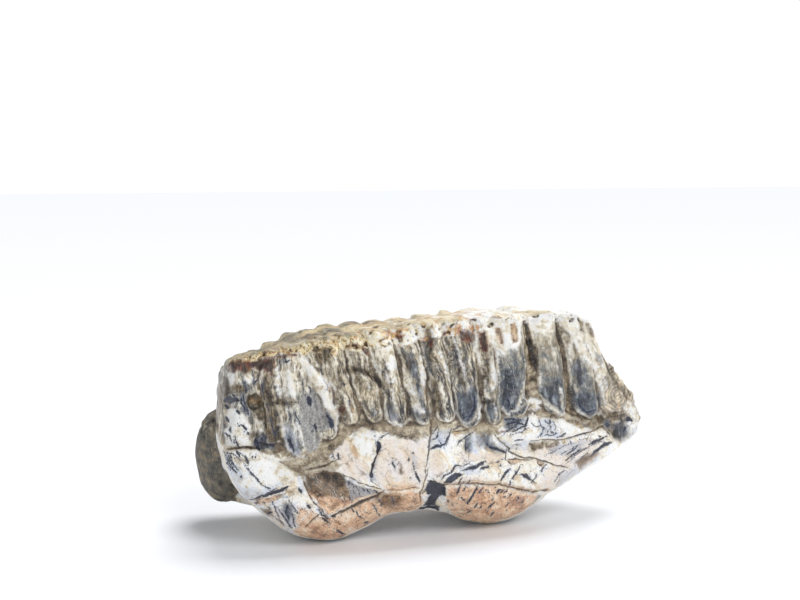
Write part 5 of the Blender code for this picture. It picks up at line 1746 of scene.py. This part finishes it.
def root_colour(recipe, place):
    turn = {"Vector": place, "Angle": FIBRE_SLANT}
    slanted = recipe.node("ShaderNodeVectorRotate", turn, rotation_type="Y_AXIS").outputs[0]
    slanted = recipe.warp(slanted, 0.2, 3.0)
    clouds = recipe.add(recipe.noise(recipe.stretch(slanted, (0.3, 0.24, 0.09)), 1.0, 5.0, 0.6),
                        recipe.swing(place, 0.5, 4.0, 0.7, 0.25))
    on_peach = patch(recipe, "peach", place, 4.0, 0.8, 0.3)
    base = root_patches(recipe, place, recipe.ramp(clouds, ROOT_CLOUDS), on_peach)
    grain = recipe.swing(recipe.stretch(slanted, (2.2, 1.0, 0.4)), 1.0, 3.0, 0.7, 1.0)
    base = recipe.mix(recipe.span(grain, 0.1, 0.24, 0.0, 0.5), base, FIBRE_GREY)
    base = recipe.mix(recipe.span(grain, -0.06, -0.2, 0.0, 0.6), base, CHALK)
    hairs = recipe.seams(recipe.warp(place, 0.25, 6.0), 0.17, 0.035)
    hairs = recipe.times(hairs, recipe.span(recipe.noise(place, 0.1, 2.0), 0.48, 0.56))
    base = recipe.lay(base, HAIR_GREY, hairs, 0.6)
    dashes = specks(recipe, recipe.stretch(slanted, (2.9, 2.0, 0.5)), 0.75, 0.38)
    base = recipe.lay(base, INK, dashes, recipe.span(on_peach, 0.0, 1.0, 0.25, 0.9))
    stipple = specks(recipe, recipe.stretch(slanted, (1.4, 1.0, 0.8)), 1.6, 0.22)
    return recipe.lay(base, INK, stipple, 0.6)


print("fibres lean by", round(math.degrees(FIBRE_SLANT)), "degrees")

# %% [markdown]
# The heel is the broken, unpolished lump behind the blunt end: brown-grey and mottled, with a tan patch.
# The swirl at the tapered end is banded like agate: rings round one centre, bent by noise.

# %% Colour of the heel and the swirl
HEEL_STONE = (
    (0.34, 56, 54, 50), (0.43, 88, 84, 76), (0.52, 112, 106, 94), (0.62, 142, 126, 100),
    (0.74, 178, 156, 122),
)
AGATE = (
    (0.32, 92, 80, 64), (0.42, 134, 122, 104), (0.5, 162, 152, 138), (0.58, 202, 184, 152),
    (0.68, 232, 222, 204),
)
RING_PACE = 4.6     # radians of the rings' wave in each mm from their centre


def swirl_colour(recipe, place):
    rings = recipe.add(recipe.attribute("swirl"), recipe.swing(place, 0.1, 2.0, 0.5, 7.0))
    waves = recipe.math("SINE", recipe.times(rings, RING_PACE))
    shade = recipe.add(recipe.times(waves, 0.06), recipe.noise(place, 0.22, 4.0, 0.62))
    return recipe.ramp(shade, AGATE)


print("agate rings are", round(math.tau / RING_PACE, 2), "mm apart")

# %% [markdown]
# The last layers are the drawn marks. Chalk comes first, then shade, haze, grey slabs, the glassy toes and
# honey. Each is a ragged patch with a ramp of its own, so that it is never one flat colour.

# %% The soft marks
WHITE_STONE = ((0.34, 182, 170, 150), (0.43, *CREAM), (0.5, *CHALK))
SHADE = ((0.36, 92, 82, 70), (0.5, 140, 128, 110), (0.66, 196, 184, 164))
SLAB_GREY = ((0.34, 96, 94, 92), (0.46, 146, 144, 142), (0.6, 172, 171, 170), (0.72, 206, 206, 206))
SLATE = ((0.36, 28, 32, 42), (0.47, 56, 62, 74), (0.57, 100, 108, 118), (0.7, 180, 186, 190))
AMBER = ((0.36, 112, 76, 40), (0.5, 180, 134, 80), (0.64, 226, 192, 142))


def soft_marks(recipe, colour, place):
    """Chalk, shade, haze, grey slabs, glassy toes and honey, which the painted shade and grit lie over."""
    white = recipe.ramp(recipe.noise(place, 0.3, 4.0, 0.62), WHITE_STONE)
    colour = recipe.lay(colour, white, patch(recipe, "chalk", place, 3.4, 0.7, 1.0), 0.88)
    dark = recipe.ramp(recipe.noise(place, 0.8, 5.0, 0.75), SHADE)
    colour = recipe.mix(patch(recipe, "shade", place, 3.4, 1.1, 0.7), colour, dark, "MULTIPLY")
    colour = recipe.lay(colour, HAZE, patch(recipe, "haze", place, 2.6, 0.7, 0.6), 0.45)
    grey = recipe.add(recipe.noise(place, 1.6, 3.0, 0.7), recipe.swing(place, 0.2, 2.0, 0.5, 0.3))
    slab = patch(recipe, "slab", place, 1.6, 0.4, 0.8)
    colour = recipe.lay(colour, recipe.ramp(grey, SLAB_GREY), slab, 0.85)
    slate = recipe.noise(recipe.stretch(place, (0.9, 0.8, 0.4)), 0.5, 4.0, 0.66)
    glass = patch(recipe, "glass", place, 3.2, 1.3, 0.8, 0.1)
    colour = recipe.lay(colour, recipe.ramp(slate, SLATE), glass, 0.9)
    amber = recipe.ramp(recipe.noise(place, 0.8, 5.0, 0.75), AMBER)
    return recipe.lay(colour, amber, patch(recipe, "honey", place, 2.0, 0.4, 0.9, 0.1), 0.68)


print("stops in the soft marks' ramps:", sum(map(len, (WHITE_STONE, SHADE, SLAB_GREY, SLATE, AMBER))))

# %% [markdown]
# Painted shade and grit lie over these marks. Shade is painted into the hollows, a pale highlight on the edges
# that stand proud, and fine grit lies all over. The hollows measured above steer it.

# %% Painted shade, highlights and grit
FINE_WEIGHT = 2.4   # how much more a fine hollow counts than a wide one
HOLLOW_FROM = 0.18  # how deep a hollow is where it starts to darken, mm
# browns that the painted shade multiplies into the hollows, and into the deepest ones
HOLLOW_SHADE = (158, 144, 126)
DEEP_SHADE = (106, 92, 76)
GRIT_BROWN = (120, 112, 104)


def shade_highlight_and_grit(recipe, colour, place):
    """Paints shade into the hollows and a pale highlight on the proud edges, and adds grit."""
    fine = recipe.times(recipe.attribute("hollow_fine"), FINE_WEIGHT)
    deep = recipe.add(fine, recipe.attribute("hollow_wide"))
    # painted shade: the deeper a hollow lies, the darker it is painted
    colour = recipe.mix(recipe.span(deep, HOLLOW_FROM, 0.7, 0.0, 0.7), colour, HOLLOW_SHADE, "MULTIPLY")
    colour = recipe.mix(recipe.span(deep, 0.45, 1.2, 0.0, 0.85), colour, DEEP_SHADE, "MULTIPLY")
    # painted highlight: edges that stand proud of their surroundings are made paler
    colour = recipe.mix(recipe.span(deep, -0.16, -0.6, 0.0, 0.35), colour, CREAM)
    # grit, the stone's own colour
    grit = recipe.noise(place, 2.0, 4.0, 0.8)
    colour = recipe.mix(recipe.span(grit, 0.54, 0.68, 0.0, 0.4), colour, GRIT_BROWN, "MULTIPLY")
    return recipe.mix(recipe.span(grit, 0.44, 0.34, 0.0, 0.25), colour, CHALK)


in_hollow = FINE_WEIGHT * hollow_fine + hollow_wide > HOLLOW_FROM
print("share of points in hollows:", round(float(in_hollow.mean()), 2))

# %% [markdown]
# Rust, ink and the cracks come on top, because nothing on the stone covers them. Ink has a soft grey-blue
# stain round it, then a dust of specks, and its dark core last.

# %% The dark marks
RUSTY = (
    (0.28, 34, 18, 16), (0.42, *MAROON), (0.52, 116, 58, 36), (0.62, 170, 104, 64), (0.72, 212, 168, 122),
)
INKY = ((0.45, *INK), (0.58, 40, 48, 72), (0.74, 90, 100, 124))
INK_STAIN = (126, 136, 158)


def dark_marks(recipe, colour, place):
    """Rust, ink and cracks, the darkest layer."""
    rusty = recipe.noise(recipe.stretch(place, (1.0, 1.0, 0.4)), 0.6, 5.0, 0.72)
    darker_inside = recipe.add(recipe.times(recipe.attribute("rust"), -0.11), -0.03)
    rusty = recipe.ramp(recipe.add(darker_inside, rusty), RUSTY)
    colour = recipe.lay(colour, rusty, patch(recipe, "rust", place, 2.8, 0.8, 0.9), 0.88)
    colour = recipe.lay(colour, INK_STAIN, patch(recipe, "ink", place, 3.0, 0.8, 0.7), 0.4)
    near_ink = recipe.span(recipe.attribute("ink"), -2.2, -0.2)
    dust = recipe.times(specks(recipe, place, 1.9, 0.4), near_ink)
    colour = recipe.lay(colour, INK_GREY, dust, 0.75)
    inky = recipe.ramp(recipe.noise(place, 1.1, 5.0, 0.76), INKY)
    colour = recipe.lay(colour, inky, patch(recipe, "ink", place, 1.6, 0.13, 1.9, 0.02), 0.96)
    crack = recipe.mix(recipe.span(recipe.noise(place, 0.12, 2.0), 0.42, 0.58), PEAT, UMBER)
    return recipe.lay(colour, crack, patch(recipe, "crack", place, 1.0, 0.14, 0.9, -0.02), 0.85)


print("stops in the dark marks' ramps:", len(RUSTY), len(INKY))

# %% [markdown]
# Each region of the tooth now gets its colour: roots, the cement of the neck, crown, chewing face, swirl
# and heel, with frayed edges between them, and all the marks over them. Polished enamel shines more than
# the crumbly parts do, and a fine bump breaks up the highlights.

# %% The finished material
SWIRL_REACH = 12.5      # how far the agate rings reach from their centre, mm
SWIRL_SOLID = 10.5
POLISHED = 0.24         # roughness of the polished stone


def all_regions(recipe, place, grain, crumb, heel):
    """Roots, cement, crown, chewing face, swirl and heel, each in its own region with a frayed edge."""
    edge_noise = recipe.swing(place, 0.4, 5.0, 0.7, 1.0)
    over_neck = recipe.add(recipe.attribute("over_neck"), recipe.times(edge_noise, 9.0))
    colour = recipe.mix(recipe.span(over_neck, -1.8, -0.7), root_colour(recipe, place),
                        cement_colour(recipe, place, 0.06))
    colour = recipe.mix(recipe.span(over_neck, 0.6, 1.6), colour, crown_colour(recipe, place, grain))
    crumb_mask = recipe.span(recipe.add(crumb, edge_noise), 0.35, 0.65)
    colour = recipe.mix(crumb_mask, colour, chewing_colour(recipe, place))
    swirl = recipe.add(recipe.attribute("swirl"), recipe.times(edge_noise, 6.0))
    swirl_mask = recipe.span(swirl, SWIRL_REACH, SWIRL_SOLID)
    colour = recipe.mix(swirl_mask, colour, swirl_colour(recipe, place))
    heel_stone = recipe.ramp(recipe.noise(place, 0.28, 6.0, 0.72), HEEL_STONE)
    return recipe.mix(recipe.span(heel, 0.3, 0.7), colour, heel_stone)


def fossil_stone():
    material = bpy.data.materials.new("fossil_enamel_and_root")
    material.use_nodes = True
    recipe = Recipe(material.node_tree)
    metres = recipe.node("ShaderNodeTexCoord", {}).outputs["Object"]
    place = recipe.stretch(metres, (1 / MM, 1 / MM, 1 / MM))
    grain = recipe.attribute("grain", "Vector")
    crumb = recipe.attribute("crumb")
    heel = recipe.attribute("heel")
    colour = all_regions(recipe, place, grain, crumb, heel)
    colour = shade_highlight_and_grit(recipe, soft_marks(recipe, colour, place), place)
    colour = dark_marks(recipe, colour, place)
    fine = recipe.noise(recipe.stretch(grain, (2.0, 1.8, 0.5)), 1.0, 3.0, 0.6)
    pores = recipe.noise(place, 1.8, 4.0, 0.75)
    pitted = recipe.times(pores, recipe.add(recipe.times(crumb, 0.4), 0.2))
    height = recipe.add(recipe.times(fine, 0.15), pitted)
    bump = recipe.node("ShaderNodeBump", {"Height": height, "Distance": MM, "Strength": 0.7})
    roughness = recipe.add(recipe.times(recipe.math("MAXIMUM", crumb, heel), 0.3), recipe.times(pores, 0.25))
    shader = material.node_tree.nodes["Principled BSDF"]
    links = material.node_tree.links
    links.new(colour, shader.inputs["Base Color"])
    links.new(recipe.add(roughness, POLISHED), shader.inputs["Roughness"])
    links.new(bump.outputs[0], shader.inputs["Normal"])
    return material


tooth.data.materials.clear()
tooth.data.materials.append(fossil_stone())
print("nodes in the material:", len(tooth.data.materials[0].node_tree.nodes))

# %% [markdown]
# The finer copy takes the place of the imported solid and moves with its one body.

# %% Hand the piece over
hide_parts("tooth")
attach(tooth, "root")
